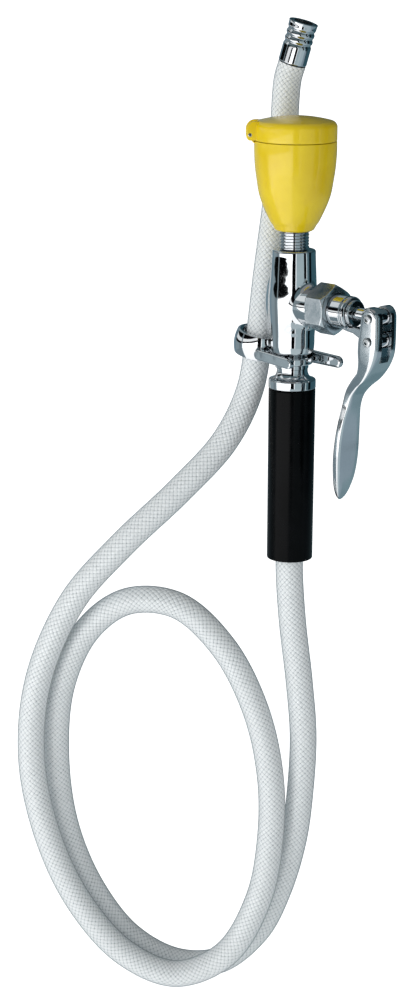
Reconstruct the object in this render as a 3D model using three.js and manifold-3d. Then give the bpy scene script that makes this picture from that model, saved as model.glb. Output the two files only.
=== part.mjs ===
// Hand-held eyewash and drench unit on a squeeze spray valve, with its supply hose.
//
// Units are millimetres and +Z is up. The pieces are laid out in the valve's own frame: the outlet
// axis is x = y = 0, the valve stem runs along +X at z = 0, and the lever hangs on the +X side.
// The finished group is then moved so that the supply inlet, on top of the hose ferrule, is at 0.

import * as THREE from 'three';
import { mergeVertices } from 'three/addons/utils/BufferGeometryUtils.js';
import Module from 'manifold-3d';

const wasm = await Module();
wasm.setup();

// Sides of the turned pieces: large and in view, usual, and small
const LARGE = 28;
const ROUND = 18;
const FINE = 12;

// ---------------------------------------------------------------- driving dimensions

const GAP = 0.3;               // between pieces that seat on each other
const PIN_PLAY = 0.3;          // radial, pivot pin in its hole

// Stem and seat
const STEM_RADIUS = 4.6;
const SEAT_BORE = 4.4;
const SEAT_OUTER = 8.2;
const SEAT_LIP_X = 0.4;
const SEAT_DEPTH = 3.4;
const WASHER_RADIUS = 7.2;
const WASHER_THICKNESS = 2.4;
const WASHER_CUP_RADIUS = 7.6;
const WASHER_CUP_LENGTH = 5.0;
const WASHER_SCREW_RADIUS = 2.2;
const WASHER_SCREW_HEAD = 3.6;
const WASHER_SCREW_HEAD_LENGTH = 2.2;
const WASHER_SCREW_LENGTH = 8.0;
const CHAMBER_RADIUS = 9.4;

// Bonnet and its union nut
const BOSS_RADIUS = 13.8;
const BOSS_END = 25.0;
const BOSS_THREAD_RADIUS = 12.6;
const BOSS_THREAD_LENGTH = 7.0;
const GASKET_THICKNESS = 1.0;
const BONNET_RADIUS = 11.6;
const BONNET_FLANGE_THICKNESS = 2.4;
const BONNET_END = 57.0;
const BONNET_END_WALL = 5.0;
const SPRING_ROOM_RADIUS = 8.2;
const NUT_ACROSS_FLATS = 30.5;
const NUT_LENGTH = 16.4;
const PACKING_RADIUS = 7.0;
const PACKING_THICKNESS = 2.0;
const PACKING_NUT_RADIUS = 9.4;
const PACKING_NUT_HEAD = 2.6;
const PACKING_NUT_SHANK = 1.2;

// Return spring
const SPRING_WIRE_RADIUS = 0.8;
const SPRING_MEAN_RADIUS = 6.5;
const SPRING_TURNS = 7;

// Lever, its fork and the two pivots
const PIVOT_X = 80.4;
const FULCRUM_DROP = 16.0;
const PIVOT_SCREW_RADIUS = 2.5;
const PIVOT_HEAD_RADIUS = 3.3;
const PIVOT_HEAD_HEIGHT = 1.3;
const FORK_HALF_WIDTH = 11.5;
const FORK_HALF_GAP = 4.7;
const FORK_HALF_DEPTH = 7.6;
const TANG_HALF_THICKNESS = 4.3;
const LUG_EYE_RADIUS = 6.0;
const STEM_EYE_HALF_LENGTH = 6.4;
const STEM_EYE_HALF_HEIGHT = 6.0;
const PIN_DROP_AT_FULL_SQUEEZE = 0.5;

// Valve body
const BODY_TOP = 38.2;
const COLLAR_RADIUS = 15.4;
const BARREL_RADIUS = 16.8;
const FIN_HALF_THICKNESS = 9.5;
const FIN_REACH = 23.6;
const SHOULDER_Z = -35.0;
const NECK_RADIUS = 11.0;
const NECK_BOTTOM = -46.0;
const NECK_SPIGOT_RADIUS = 8.8;
const NECK_SPIGOT_LENGTH = 7.0;
const INLET_BORE = 6.0;
const OUTLET_BORE = 5.2;
const OUTLET_BORE_X = -10.0;
const RISER_TOP = 22.0;
const CROSSOVER_X = -3.0;
const CROSSOVER_BOTTOM = 15.5;
const CROSSOVER_TOP = 31.0;
const COLLAR_ROUNDING = 1.2;

// Outlet nipple, 1/2 inch pipe thread
const NIPPLE_RADIUS = 10.6;
const NIPPLE_BORE = 6.5;
const NIPPLE_TOP = 57.6;
const NIPPLE_SPIGOT_RADIUS = 8.7;
const NIPPLE_SPIGOT_LENGTH = 9.2;
const REGULATOR_THICKNESS = 3.0;
const REGULATOR_BORE = 2.4;
const REGULATOR_SEAT_BORE = 4.8;

// Hose ring bracket
const BRACKET_Z = -40.6;
const BRACKET_COLLAR_RADIUS = 14.2;
const BRACKET_COLLAR_HEIGHT = 5.0;
const RING_X = -33.4;
const RING_Z = -31.5;
const RING_BORE = 12.6;
const RING_RADIUS = 16.6;
const RING_BULGE = 1.2;
const RING_HEIGHT = 15.0;
const RING_TILT = THREE.MathUtils.degToRad(12);
const ARM_Y = 13.6;
const ARM_THICKNESS = 4.6;
const ARM_HEIGHT = 7.4;
const ARM_RISE = 2.6;
const NEAR_ARM_START_X = -19.5;
const NEAR_ARM_END_X = 9.0;
const PEG_END_X = 31.0;

// Grip
const GRIP_COLLAR_RADIUS = 16.8;
const GRIP_COLLAR_FLARE_Z = -54.6;
const GRIP_TOP = -60.6;
const GRIP_LENGTH = 125.0;
const GRIP_TOP_RADIUS = 16.7;
const GRIP_BOTTOM_RADIUS = 16.4;
const GRIP_TUBE_RADIUS = 9.2;
const GRIP_TUBE_WALL = 2.0;
const GRIP_TUBE_RECESS = 17.6;
const COUPLING_FLANGE = 2.7;
const COUPLING_SPIGOT_LENGTH = 13.0;
const COUPLING_BORE = 4.5;

// Eyewash cup, its spray head and lid
const CUP_BOTTOM = 51.4;
const CUP_RIM = 114.0;
const CUP_RADIUS = 28.9;
const CUP_WALL = 2.2;
const CUP_FLOOR = 64.0;
const CUP_WASHER_THICKNESS = 1.6;
const SPRAY_HOLE_RADIUS = 8.2;
const SPRAY_HEAD_RADIUS = 13.0;
const SPRAY_HEAD_HEIGHT = 4.4;
const SPRAY_JETS = 6;
const SPRAY_JET_RADIUS = 0.8;
const SPRAY_JET_CIRCLE = 8.6;
const LID_SKIRT = 11.8;
const LID_DOME = 0.8;
const LID_WALL = 2.0;
const LID_EDGE_RADIUS = 3.8;
const LID_SEAT_GAP = 0.4;

// Lid hinge, on the side of the cup opposite to the lever side of the viewer
const HINGE_STANDOFF = 3.0;
const HINGE_RISE = 4.6;
const HINGE_EYE_RADIUS = 2.8;
const HINGE_PIN_RADIUS = 1.4;
const CUP_KNUCKLE_HALF = 5.6;
const CUP_KNUCKLE_ROOT = 3.0;
const LID_EAR_THICKNESS = 2.6;
const LID_EAR_DROP = 3.9;
const LID_EAR_CORNER = 5.4;
const HINGE_TURN = THREE.MathUtils.degToRad(45);

// Supply hose and its end fitting
const HOSE_RADIUS = 9.9;
const HOSE_SIDES = 8;
const HOSE_STEPS = 60;
const HOSE_SOCKET_PLAY = 0.5;
const FERRULE_RADIUS = 10.5;
const FERRULE_LENGTH = 30.0;
const FERRULE_BORE = 8.9;
const FERRULE_RIB_DEPTH = 0.7;
const FERRULE_RIBS = 3;
const INLET_SOCKET_RADIUS = 7.0;
const INLET_SOCKET_DEPTH = 13.0;
const INLET_BORE_RADIUS = 4.5;
const INLET_GASKET_THICKNESS = 1.8;
const FERRULE_TOP = new THREE.Vector3(-23.0, 31.0, 193.0);
const FERRULE_AXIS = new THREE.Vector3(0.27, 0.10, 1.0).normalize();

// Worked out from the sizes above
const WASHER_X = SEAT_LIP_X + GAP;
const WASHER_CUP_X = WASHER_X + WASHER_THICKNESS + GAP;
const WASHER_CUP_END = WASHER_CUP_X + WASHER_CUP_LENGTH;
const SEAT_BACK_X = SEAT_LIP_X - SEAT_DEPTH;
const BOSS_THREAD_END = BOSS_END + BOSS_THREAD_LENGTH;
const GASKET_X = BOSS_THREAD_END + GAP;
const BONNET_X = GASKET_X + GASKET_THICKNESS + GAP;
const BONNET_FLANGE_END = BONNET_X + BONNET_FLANGE_THICKNESS;
const NUT_X = BOSS_END + GAP;
const SPRING_ROOM_END = BONNET_END - BONNET_END_WALL;
const PACKING_X = BONNET_END - PACKING_NUT_SHANK - PACKING_THICKNESS - GAP;
const LEVER_ARM_RADIUS = PIVOT_SCREW_RADIUS + PIN_PLAY;
const GRIP_BOTTOM = GRIP_TOP - GRIP_LENGTH;
const GRIP_TUBE_BOTTOM = GRIP_BOTTOM + GRIP_TUBE_RECESS;
const HOSE_START = GRIP_TUBE_BOTTOM - GAP - COUPLING_FLANGE - GAP;
const LID_BOTTOM = CUP_RIM + LID_SEAT_GAP;
const LID_RIM = LID_BOTTOM + LID_SKIRT;
const HINGE_REACH = CUP_RADIUS + HINGE_STANDOFF;
const HINGE_Z = CUP_RIM + HINGE_RISE;
const CUP_HEIGHT = CUP_RIM - CUP_BOTTOM;
const LID_EAR_MIDDLE = CUP_KNUCKLE_HALF + LID_SEAT_GAP + LID_EAR_THICKNESS / 2;

// ---------------------------------------------------------------- solids and geometry helpers

function solid(geometry) {
  const bare = geometry.index ? geometry.toNonIndexed() : geometry.clone();
  bare.deleteAttribute('normal');
  bare.deleteAttribute('uv');
  const merged = mergeVertices(bare, 1e-4);
  const vertProperties = new Float32Array(merged.attributes.position.array);
  const triVerts = new Uint32Array(merged.index.array);
  return new wasm.Manifold(new wasm.Mesh({ numProp: 3, vertProperties, triVerts }));
}

function geometryOf(manifold) {
  const mesh = manifold.getMesh();
  const geometry = new THREE.BufferGeometry();
  geometry.setAttribute('position', new THREE.BufferAttribute(new Float32Array(mesh.vertProperties), 3));
  geometry.setIndex(new THREE.BufferAttribute(new Uint32Array(mesh.triVerts), 1));
  geometry.computeVertexNormals();
  return geometry;
}

// A closed profile of [radius, z] pairs turned about Z. It may be given either way round.
function revolve(profile, segments = ROUND) {
  const points = profile.map(([radius, z]) => new THREE.Vector2(radius, z));
  if (THREE.ShapeUtils.isClockWise(points)) points.reverse();
  return new THREE.LatheGeometry(points, segments).rotateX(Math.PI / 2);
}

// A round bar about Z from z0 to z1.
function bar(radius, z0, z1, segments = ROUND) {
  return revolve([[0, z0], [radius, z0], [radius, z1], [0, z1]], segments);
}

// A round tube about Z from z0 to z1.
function ring(outer, inner, z0, z1, segments = ROUND) {
  return revolve([[inner, z0], [outer, z0], [outer, z1], [inner, z1], [inner, z0]], segments);
}

// Turns what was drawn about Z so that its axis lies along X.
function alongX(geometry) {
  return geometry.rotateY(Math.PI / 2);
}

function block(x0, x1, y0, y1, z0, z1) {
  const box = new THREE.BoxGeometry(x1 - x0, y1 - y0, z1 - z0);
  return box.translate((x0 + x1) / 2, (y0 + y1) / 2, (z0 + z1) / 2);
}

// A bar along Y, centred on (x, z), from y0 to y1.
function crossBar(radius, x, z, y0, y1, segments = FINE) {
  return bar(radius, y0, y1, segments).rotateX(-Math.PI / 2).translate(x, 0, z);
}

// An outline in the XZ plane, given as a THREE.Shape with z as its second coordinate,
// thickened to half a width on both sides of y = 0.
function plateXZ(shape, halfWidth, bevel = 0) {
  const depth = 2 * (halfWidth - bevel);
  const options = { depth, bevelEnabled: bevel > 0, bevelThickness: bevel, bevelSize: bevel };
  options.bevelSegments = 1;
  options.bevelOffset = -bevel;
  options.curveSegments = 6;
  const plate = new THREE.ExtrudeGeometry(shape, options);
  return plate.translate(0, 0, -depth / 2).rotateX(Math.PI / 2);
}

// Joins closed rings of points, all with the same count, into one closed skin with flat ends.
function skin(rings) {
  const count = rings[0].length;
  const positions = rings.flat().flatMap((point) => [point.x, point.y, point.z]);
  const faces = [];
  for (let level = 0; level + 1 < rings.length; level += 1) {
    for (let side = 0; side < count; side += 1) {
      const next = (side + 1) % count;
      const low = level * count;
      const high = low + count;
      faces.push(low + side, low + next, high + next);
      faces.push(low + side, high + next, high + side);
    }
  }
  const total = (points) => points.reduce((sum, point) => sum.add(point), new THREE.Vector3());
  const lastRing = (rings.length - 1) * count;
  const first = total(rings[0]).divideScalar(count);
  const last = total(rings[rings.length - 1]).divideScalar(count);
  const firstIndex = positions.length / 3;
  positions.push(first.x, first.y, first.z, last.x, last.y, last.z);
  for (let side = 0; side < count; side += 1) {
    const next = (side + 1) % count;
    faces.push(firstIndex, next, side);
    faces.push(firstIndex + 1, lastRing + side, lastRing + next);
  }
  const geometry = new THREE.BufferGeometry();
  geometry.setAttribute('position', new THREE.Float32BufferAttribute(positions, 3));
  geometry.setIndex(faces);
  return geometry;
}

// Value at t of a smooth line through [t, value] stations, level at its two ends.
function through(stations, t) {
  const last = stations.length - 1;
  if (t <= stations[0][0]) return stations[0][1];
  if (t >= stations[last][0]) return stations[last][1];
  const index = stations.findIndex(([place]) => place > t) - 1;
  const slope = (k) => {
    if (k === 0 || k === last) return 0;
    return (stations[k + 1][1] - stations[k - 1][1]) / (stations[k + 1][0] - stations[k - 1][0]);
  };
  const [t0, v0] = stations[index];
  const [t1, v1] = stations[index + 1];
  const span = t1 - t0;
  const u = (t - t0) / span;
  const a = v0 * (1 + 2 * u) * (1 - u) ** 2 + v1 * u * u * (3 - 2 * u);
  return a + span * (slope(index) * u * (1 - u) ** 2 - slope(index + 1) * u * u * (1 - u));
}

function cut(base, ...tools) {
  return tools.reduce((body, tool) => body.subtract(solid(tool)), base);
}

function join(base, ...parts) {
  return parts.reduce((body, part) => body.add(solid(part)), base);
}

const FINISHES = {
  chrome: { color: 0xc8cdd0, roughness: 0.12, metalness: 1.0 },
  brass: { color: 0xb59a58, roughness: 0.35, metalness: 1.0 },
  steel: { color: 0xa9adb0, roughness: 0.3, metalness: 1.0 },
  yellow: { color: 0xf0c21a, roughness: 0.3, metalness: 0.0 },
  black: { color: 0x141519, roughness: 0.55, metalness: 0.0 },
  rubber: { color: 0x232323, roughness: 0.8, metalness: 0.0 },
  white: { color: 0xe6e8e8, roughness: 0.45, metalness: 0.0 },
  grey: { color: 0x8d9296, roughness: 0.5, metalness: 0.0 },
};

const group = new THREE.Group();
group.position.copy(FERRULE_TOP).negate();

function piece(name, geometry, finish, parent = group) {
  const mesh = new THREE.Mesh(geometry, new THREE.MeshStandardMaterial(FINISHES[finish]));
  mesh.name = name;
  parent.add(mesh);
}

// ---------------------------------------------------------------- valve body

// Radius of the body's outside at a height and a direction: a turned column and, towards -X, a
// rounded fin for the palm. The two are blended by a smooth maximum, as fillets do in a casting.
function bodyRadius(angle, z) {
  const column = through([
    [NECK_BOTTOM, NECK_RADIUS],
    [SHOULDER_Z - 2.5, NECK_RADIUS],
    [SHOULDER_Z + 1, COLLAR_RADIUS - 0.8],
    [-22, COLLAR_RADIUS],
    [0, BARREL_RADIUS],
    [16, BARREL_RADIUS - 0.6],
    [34, COLLAR_RADIUS],
    [BODY_TOP - COLLAR_ROUNDING, COLLAR_RADIUS],
    [BODY_TOP, COLLAR_RADIUS - COLLAR_ROUNDING],
  ], z);
  const reach = through([
    [SHOULDER_Z - 2.5, NECK_RADIUS - 1],
    [SHOULDER_Z + 0.5, FIN_REACH * 0.78],
    [-24, FIN_REACH * 0.88],
    [0, FIN_REACH],
    [22, FIN_REACH * 0.82],
    [BODY_TOP - 3, COLLAR_RADIUS - 2],
  ], z);
  const thickness = Math.min(FIN_HALF_THICKNESS, reach);
  const along = -Math.cos(angle);
  const across = Math.abs(Math.sin(angle));
  const centre = reach - thickness;
  let fin = thickness;
  if (along > 0) {
    fin = across > 1e-6 ? thickness / across : Infinity;
    if (fin * along > centre) {
      fin = centre * along + Math.sqrt(Math.max(0, thickness ** 2 - (centre * across) ** 2));
    }
  }
  const sharpness = 7;
  return (column ** sharpness + fin ** sharpness) ** (1 / sharpness);
}

// Rings of points up the body, from the neck to the collar's top. A clearance grows them and
// lowers them, which gives the room that the body needs in a neighbour.
function bodyRings(clearance = 0) {
  const heights = [NECK_BOTTOM];
  for (let z = SHOULDER_Z - 2.5; z < SHOULDER_Z + 2; z += 1.3) heights.push(z);
  for (let z = SHOULDER_Z + 4; z < BODY_TOP - 2; z += 6.2) heights.push(z);
  heights.push(BODY_TOP - COLLAR_ROUNDING, BODY_TOP - COLLAR_ROUNDING / 3, BODY_TOP);
  return heights.map((z) => Array.from({ length: LARGE }, (unused, side) => {
    const angle = (2 * Math.PI * side) / LARGE;
    const radius = bodyRadius(angle, z) + clearance;
    return new THREE.Vector3(radius * Math.cos(angle), radius * Math.sin(angle), z - clearance);
  }));
}

function valveBody() {
  const boss = alongX(revolve([
    [0, 2], [BOSS_RADIUS, 2], [BOSS_RADIUS, BOSS_END],
    [BOSS_THREAD_RADIUS, BOSS_END], [BOSS_THREAD_RADIUS, BOSS_THREAD_END], [0, BOSS_THREAD_END],
  ]));
  const spigot = bar(NECK_SPIGOT_RADIUS, NECK_BOTTOM - NECK_SPIGOT_LENGTH, NECK_BOTTOM + 1);
  const chamber = alongX(bar(CHAMBER_RADIUS, 0, BOSS_THREAD_END + 1));
  const seatPocket = alongX(bar(SEAT_OUTER + GAP, SEAT_BACK_X - GAP, 1));
  const seatPassage = alongX(bar(SEAT_BORE, OUTLET_BORE_X, SEAT_BACK_X, FINE));
  const inletFoot = NECK_BOTTOM - NECK_SPIGOT_LENGTH - 1;
  const straightInlet = bar(INLET_BORE, inletFoot, NECK_BOTTOM + 16, FINE);
  const offsetInlet = bar(INLET_BORE, inletFoot, 1.6 - CHAMBER_RADIUS, FINE).translate(3, 0, 0);
  const riser = bar(OUTLET_BORE, -OUTLET_BORE, RISER_TOP, FINE).translate(OUTLET_BORE_X, 0, 0);
  const crossover = bar(INLET_BORE, CROSSOVER_BOTTOM, CROSSOVER_TOP, FINE).translate(CROSSOVER_X, 0, 0);
  const socketDepth = NIPPLE_SPIGOT_LENGTH + GAP;
  const socketRadius = NIPPLE_SPIGOT_RADIUS + GAP;
  const socket = bar(socketRadius, BODY_TOP - socketDepth, BODY_TOP + 1);
  const sinkDepth = NIPPLE_RADIUS + GAP - socketRadius;
  const countersink = revolve([[0, BODY_TOP - sinkDepth], [socketRadius, BODY_TOP - sinkDepth],
    [NIPPLE_RADIUS + GAP, BODY_TOP], [NIPPLE_RADIUS + GAP, BODY_TOP + 1], [0, BODY_TOP + 1]]);
  const shell = join(solid(skin(bodyRings())), boss, spigot);
  const body = cut(shell, chamber, seatPocket, seatPassage, riser, crossover, socket, countersink);
  piece('valve_body', geometryOf(cut(body, straightInlet, offsetInlet)), 'chrome');
}

// ---------------------------------------------------------------- seat, stem, bonnet

function seatRing() {
  const profile = [
    [SEAT_BORE, SEAT_BACK_X], [SEAT_OUTER, SEAT_BACK_X], [SEAT_OUTER, SEAT_LIP_X - 0.8],
    [SEAT_BORE + 1.6, SEAT_LIP_X], [SEAT_BORE, SEAT_LIP_X], [SEAT_BORE, SEAT_BACK_X],
  ];
  piece('valve_seat', alongX(revolve(profile)), 'brass');
}

function seatWasher() {
  const hole = WASHER_SCREW_RADIUS + GAP;
  piece('seat_washer', alongX(ring(WASHER_RADIUS, hole, WASHER_X, WASHER_X + WASHER_THICKNESS)), 'rubber');
}

function washerScrew() {
  const headEnd = WASHER_X - GAP;
  const profile = [
    [0, headEnd - WASHER_SCREW_HEAD_LENGTH], [WASHER_SCREW_HEAD - 0.6, headEnd - WASHER_SCREW_HEAD_LENGTH],
    [WASHER_SCREW_HEAD, headEnd - WASHER_SCREW_HEAD_LENGTH + 0.6], [WASHER_SCREW_HEAD, headEnd],
    [WASHER_SCREW_RADIUS, headEnd], [WASHER_SCREW_RADIUS, headEnd + WASHER_SCREW_LENGTH],
    [0, headEnd + WASHER_SCREW_LENGTH],
  ];
  piece('washer_screw', alongX(revolve(profile, FINE)), 'steel');
}

function valveStem() {
  const eyeStart = PIVOT_X - STEM_EYE_HALF_LENGTH - 2;
  const rod = alongX(revolve([
    [0, WASHER_CUP_X], [WASHER_CUP_RADIUS, WASHER_CUP_X], [WASHER_CUP_RADIUS, WASHER_CUP_END],
    [STEM_RADIUS, WASHER_CUP_END], [STEM_RADIUS, eyeStart + 3], [0, eyeStart + 3],
  ]));
  const outline = new THREE.Shape();
  outline.moveTo(eyeStart, -STEM_EYE_HALF_HEIGHT);
  outline.lineTo(PIVOT_X, -STEM_EYE_HALF_HEIGHT);
  outline.absarc(PIVOT_X, 0, STEM_EYE_HALF_HEIGHT, -Math.PI / 2, Math.PI / 2, false);
  outline.lineTo(eyeStart, STEM_EYE_HALF_HEIGHT);
  outline.lineTo(eyeStart - 1.5, STEM_RADIUS - 1);
  outline.lineTo(eyeStart - 1.5, 1 - STEM_RADIUS);
  const slotHalf = LEVER_ARM_RADIUS;
  const slot = new THREE.Shape();
  slot.moveTo(PIVOT_X - slotHalf, 0);
  slot.absarc(PIVOT_X, 0, slotHalf, Math.PI, 0, true);
  slot.lineTo(PIVOT_X + slotHalf, -PIN_DROP_AT_FULL_SQUEEZE);
  slot.absarc(PIVOT_X, -PIN_DROP_AT_FULL_SQUEEZE, slotHalf, 0, -Math.PI, true);
  const screwHole = alongX(bar(WASHER_SCREW_RADIUS + GAP, WASHER_CUP_X - 1, WASHER_SCREW_LENGTH + 1, FINE));
  const eye = plateXZ(outline, TANG_HALF_THICKNESS, 0.8);
  const body = cut(join(solid(rod), eye), plateXZ(slot, TANG_HALF_THICKNESS + 1), screwHole);
  piece('valve_stem', geometryOf(body), 'chrome');
}

function bonnetGasket() {
  const gasket = ring(BOSS_THREAD_RADIUS, CHAMBER_RADIUS, GASKET_X, GASKET_X + GASKET_THICKNESS);
  piece('bonnet_gasket', alongX(gasket), 'rubber');
}

function bonnet() {
  const packingRoom = PACKING_RADIUS + GAP;
  const barrel = alongX(revolve([
    [SPRING_ROOM_RADIUS, BONNET_X], [BOSS_THREAD_RADIUS, BONNET_X], [BOSS_THREAD_RADIUS, BONNET_FLANGE_END],
    [BONNET_RADIUS, BONNET_FLANGE_END], [BONNET_RADIUS, BONNET_END - 3.4],
    [BONNET_RADIUS - 0.7, BONNET_END - 3], [BONNET_RADIUS - 0.7, BONNET_END - 2],
    [BONNET_RADIUS - 0.2, BONNET_END - 1.6],
    [BONNET_RADIUS - 0.8, BONNET_END], [packingRoom, BONNET_END], [packingRoom, PACKING_X - GAP],
    [STEM_RADIUS + GAP, PACKING_X - GAP], [STEM_RADIUS + GAP, SPRING_ROOM_END],
    [SPRING_ROOM_RADIUS, SPRING_ROOM_END], [SPRING_ROOM_RADIUS, BONNET_X],
  ]));
  const lugBase = NUT_X + NUT_LENGTH + 4;
  const outline = new THREE.Shape();
  outline.moveTo(lugBase, -BONNET_RADIUS + 1);
  outline.lineTo(BONNET_END + 3, -BONNET_RADIUS - 1.6);
  outline.lineTo(PIVOT_X - 3.5, -FULCRUM_DROP - LUG_EYE_RADIUS + 1);
  outline.absarc(PIVOT_X, -FULCRUM_DROP, LUG_EYE_RADIUS, -Math.PI * 0.66, Math.PI * 0.6, false);
  outline.lineTo(BONNET_END + 5, -BONNET_RADIUS + 3);
  outline.lineTo(BONNET_END - 1, -BONNET_RADIUS + 1.4);
  outline.lineTo(lugBase + 2, -BONNET_RADIUS + 2.2);
  const lug = plateXZ(outline, TANG_HALF_THICKNESS, 0.8);
  const pivotHole = crossBar(LEVER_ARM_RADIUS, PIVOT_X, -FULCRUM_DROP, -FORK_HALF_GAP, FORK_HALF_GAP);
  piece('bonnet', geometryOf(cut(join(solid(barrel), lug), pivotHole)), 'chrome');
}

function bonnetNut() {
  const corner = NUT_ACROSS_FLATS / Math.sqrt(3);
  const hexagon = new THREE.CylinderGeometry(corner, corner, NUT_LENGTH, 6);
  hexagon.rotateZ(-Math.PI / 2).translate(NUT_X + NUT_LENGTH / 2, 0, 0);
  const chamfer = alongX(revolve([
    [0, NUT_X], [corner - 1.2, NUT_X], [corner + 0.2, NUT_X + 1.2], [corner + 0.2, NUT_X + NUT_LENGTH - 1.6],
    [corner - 2.2, NUT_X + NUT_LENGTH], [0, NUT_X + NUT_LENGTH],
  ], LARGE));
  const threadBore = alongX(bar(BOSS_THREAD_RADIUS + GAP, NUT_X - 1, BONNET_FLANGE_END + GAP));
  const lipBore = alongX(bar(BONNET_RADIUS + GAP, NUT_X - 1, NUT_X + NUT_LENGTH + 1));
  const body = solid(hexagon).intersect(solid(chamfer));
  piece('bonnet_nut', geometryOf(cut(body, threadBore, lipBore)), 'chrome');
}

function stemPacking() {
  const packing = ring(PACKING_RADIUS, STEM_RADIUS + GAP, PACKING_X, PACKING_X + PACKING_THICKNESS);
  piece('stem_packing', alongX(packing), 'rubber');
}

function packingNut() {
  const shankStart = BONNET_END - PACKING_NUT_SHANK;
  const head = BONNET_END + GAP;
  const end = head + PACKING_NUT_HEAD;
  const bore = STEM_RADIUS + GAP;
  const profile = [
    [bore, shankStart], [PACKING_RADIUS, shankStart], [PACKING_RADIUS, head], [PACKING_NUT_RADIUS, head],
    [PACKING_NUT_RADIUS, end - 0.8], [PACKING_NUT_RADIUS - 0.8, end], [bore, end], [bore, shankStart],
  ];
  piece('packing_nut', alongX(revolve(profile)), 'chrome');
}

// A helix of round wire between the washer cup and the bonnet's end wall.
function returnSpring() {
  const start = WASHER_CUP_END + SPRING_WIRE_RADIUS + GAP;
  const end = SPRING_ROOM_END - SPRING_WIRE_RADIUS - GAP;
  const steps = SPRING_TURNS * 8;
  const sides = 5;
  const rings = [];
  for (let step = 0; step <= steps; step += 1) {
    const share = step / steps;
    const turn = share * SPRING_TURNS * 2 * Math.PI;
    const x = start + (end - start) * share;
    rings.push(Array.from({ length: sides }, (unused, side) => {
      const angle = (2 * Math.PI * side) / sides;
      const radius = SPRING_MEAN_RADIUS + SPRING_WIRE_RADIUS * Math.cos(angle);
      const offset = SPRING_WIRE_RADIUS * Math.sin(angle);
      return new THREE.Vector3(x + offset, radius * Math.sin(turn), radius * Math.cos(turn));
    }));
  }
  piece('return_spring', skin(rings), 'steel');
}

// ---------------------------------------------------------------- lever and pivots

// Stations down the lever in the XZ plane: middle line, half depth and half width.
// The fork's head is a half round about the stem pivot, and the paddle ends in a rounded tip.
function leverStations() {
  const stations = [];
  const headSteps = 5;
  for (let step = 0; step <= headSteps; step += 1) {
    const turn = (Math.PI / 2) * (1 - step / headSteps);
    const depth = Math.max(0.9, FORK_HALF_DEPTH * Math.cos(turn));
    stations.push([PIVOT_X, FORK_HALF_DEPTH * Math.sin(turn), depth, FORK_HALF_WIDTH]);
  }
  stations.push([PIVOT_X, -FULCRUM_DROP, FORK_HALF_DEPTH, FORK_HALF_WIDTH]);
  stations.push([PIVOT_X - 0.6, -25, FORK_HALF_DEPTH - 0.8, FORK_HALF_WIDTH]);
  stations.push([PIVOT_X - 2.6, -33, 5.4, FORK_HALF_WIDTH - 0.4]);
  stations.push([PIVOT_X - 7.5, -41, 4.5, FORK_HALF_WIDTH - 1.4]);
  stations.push([PIVOT_X - 14.5, -47.6, 4.1, FORK_HALF_WIDTH - 2.8]);
  stations.push([PIVOT_X - 20.3, -55, 3.8, 7.6]);
  stations.push([PIVOT_X - 23.4, -64, 3.3, 7.6]);
  stations.push([PIVOT_X - 25.6, -75, 3.0, 8.7]);
  stations.push([PIVOT_X - 27.4, -88, 3.1, 9.7]);
  stations.push([PIVOT_X - 28.6, -102, 3.3, 9.9]);
  stations.push([PIVOT_X - 29.8, -115, 3.2, 8.6]);
  stations.push([PIVOT_X - 31.4, -125, 2.6, 6.2]);
  stations.push([PIVOT_X - 32.4, -131, 1.7, 3.6]);
  stations.push([PIVOT_X - 32.9, -133.6, 0.7, 1.4]);
  return stations;
}

function leverShell() {
  const stations = leverStations();
  const middle = stations.map(([x, z]) => new THREE.Vector2(x, z));
  const sides = 20;
  const rings = stations.map(([x, z, depth, width], index) => {
    const before = middle[Math.max(0, index - 1)];
    const after = middle[Math.min(middle.length - 1, index + 1)];
    const run = after.clone().sub(before).normalize();
    const straight = z > -FULCRUM_DROP - 1;
    const normal = straight ? new THREE.Vector2(1, 0) : new THREE.Vector2(-run.y, run.x);
    const power = z > -FULCRUM_DROP - 20 ? 0.36 : 0.62;
    return Array.from({ length: sides }, (unused, side) => {
      const angle = (2 * Math.PI * (side + 0.5)) / sides;
      const bend = (value) => Math.sign(value) * Math.abs(value) ** power;
      const out = depth * bend(Math.cos(angle));
      const across = width * bend(Math.sin(angle));
      return new THREE.Vector3(x + normal.x * out, -across, z + normal.y * out);
    });
  });
  return solid(skin(rings));
}

function lever() {
  const slotBottom = -FULCRUM_DROP - LUG_EYE_RADIUS - 4;
  const clear = 2.5 * FORK_HALF_DEPTH;
  const slot = block(PIVOT_X - clear, PIVOT_X + clear, -FORK_HALF_GAP, FORK_HALF_GAP, slotBottom, clear);
  const reach = FORK_HALF_WIDTH + 2;
  const stemHole = crossBar(LEVER_ARM_RADIUS, PIVOT_X, 0, -reach, reach);
  const fulcrumHole = crossBar(LEVER_ARM_RADIUS, PIVOT_X, -FULCRUM_DROP, -reach, reach);
  piece('lever', geometryOf(cut(leverShell(), slot, stemHole, fulcrumHole)), 'chrome');
}

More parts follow.
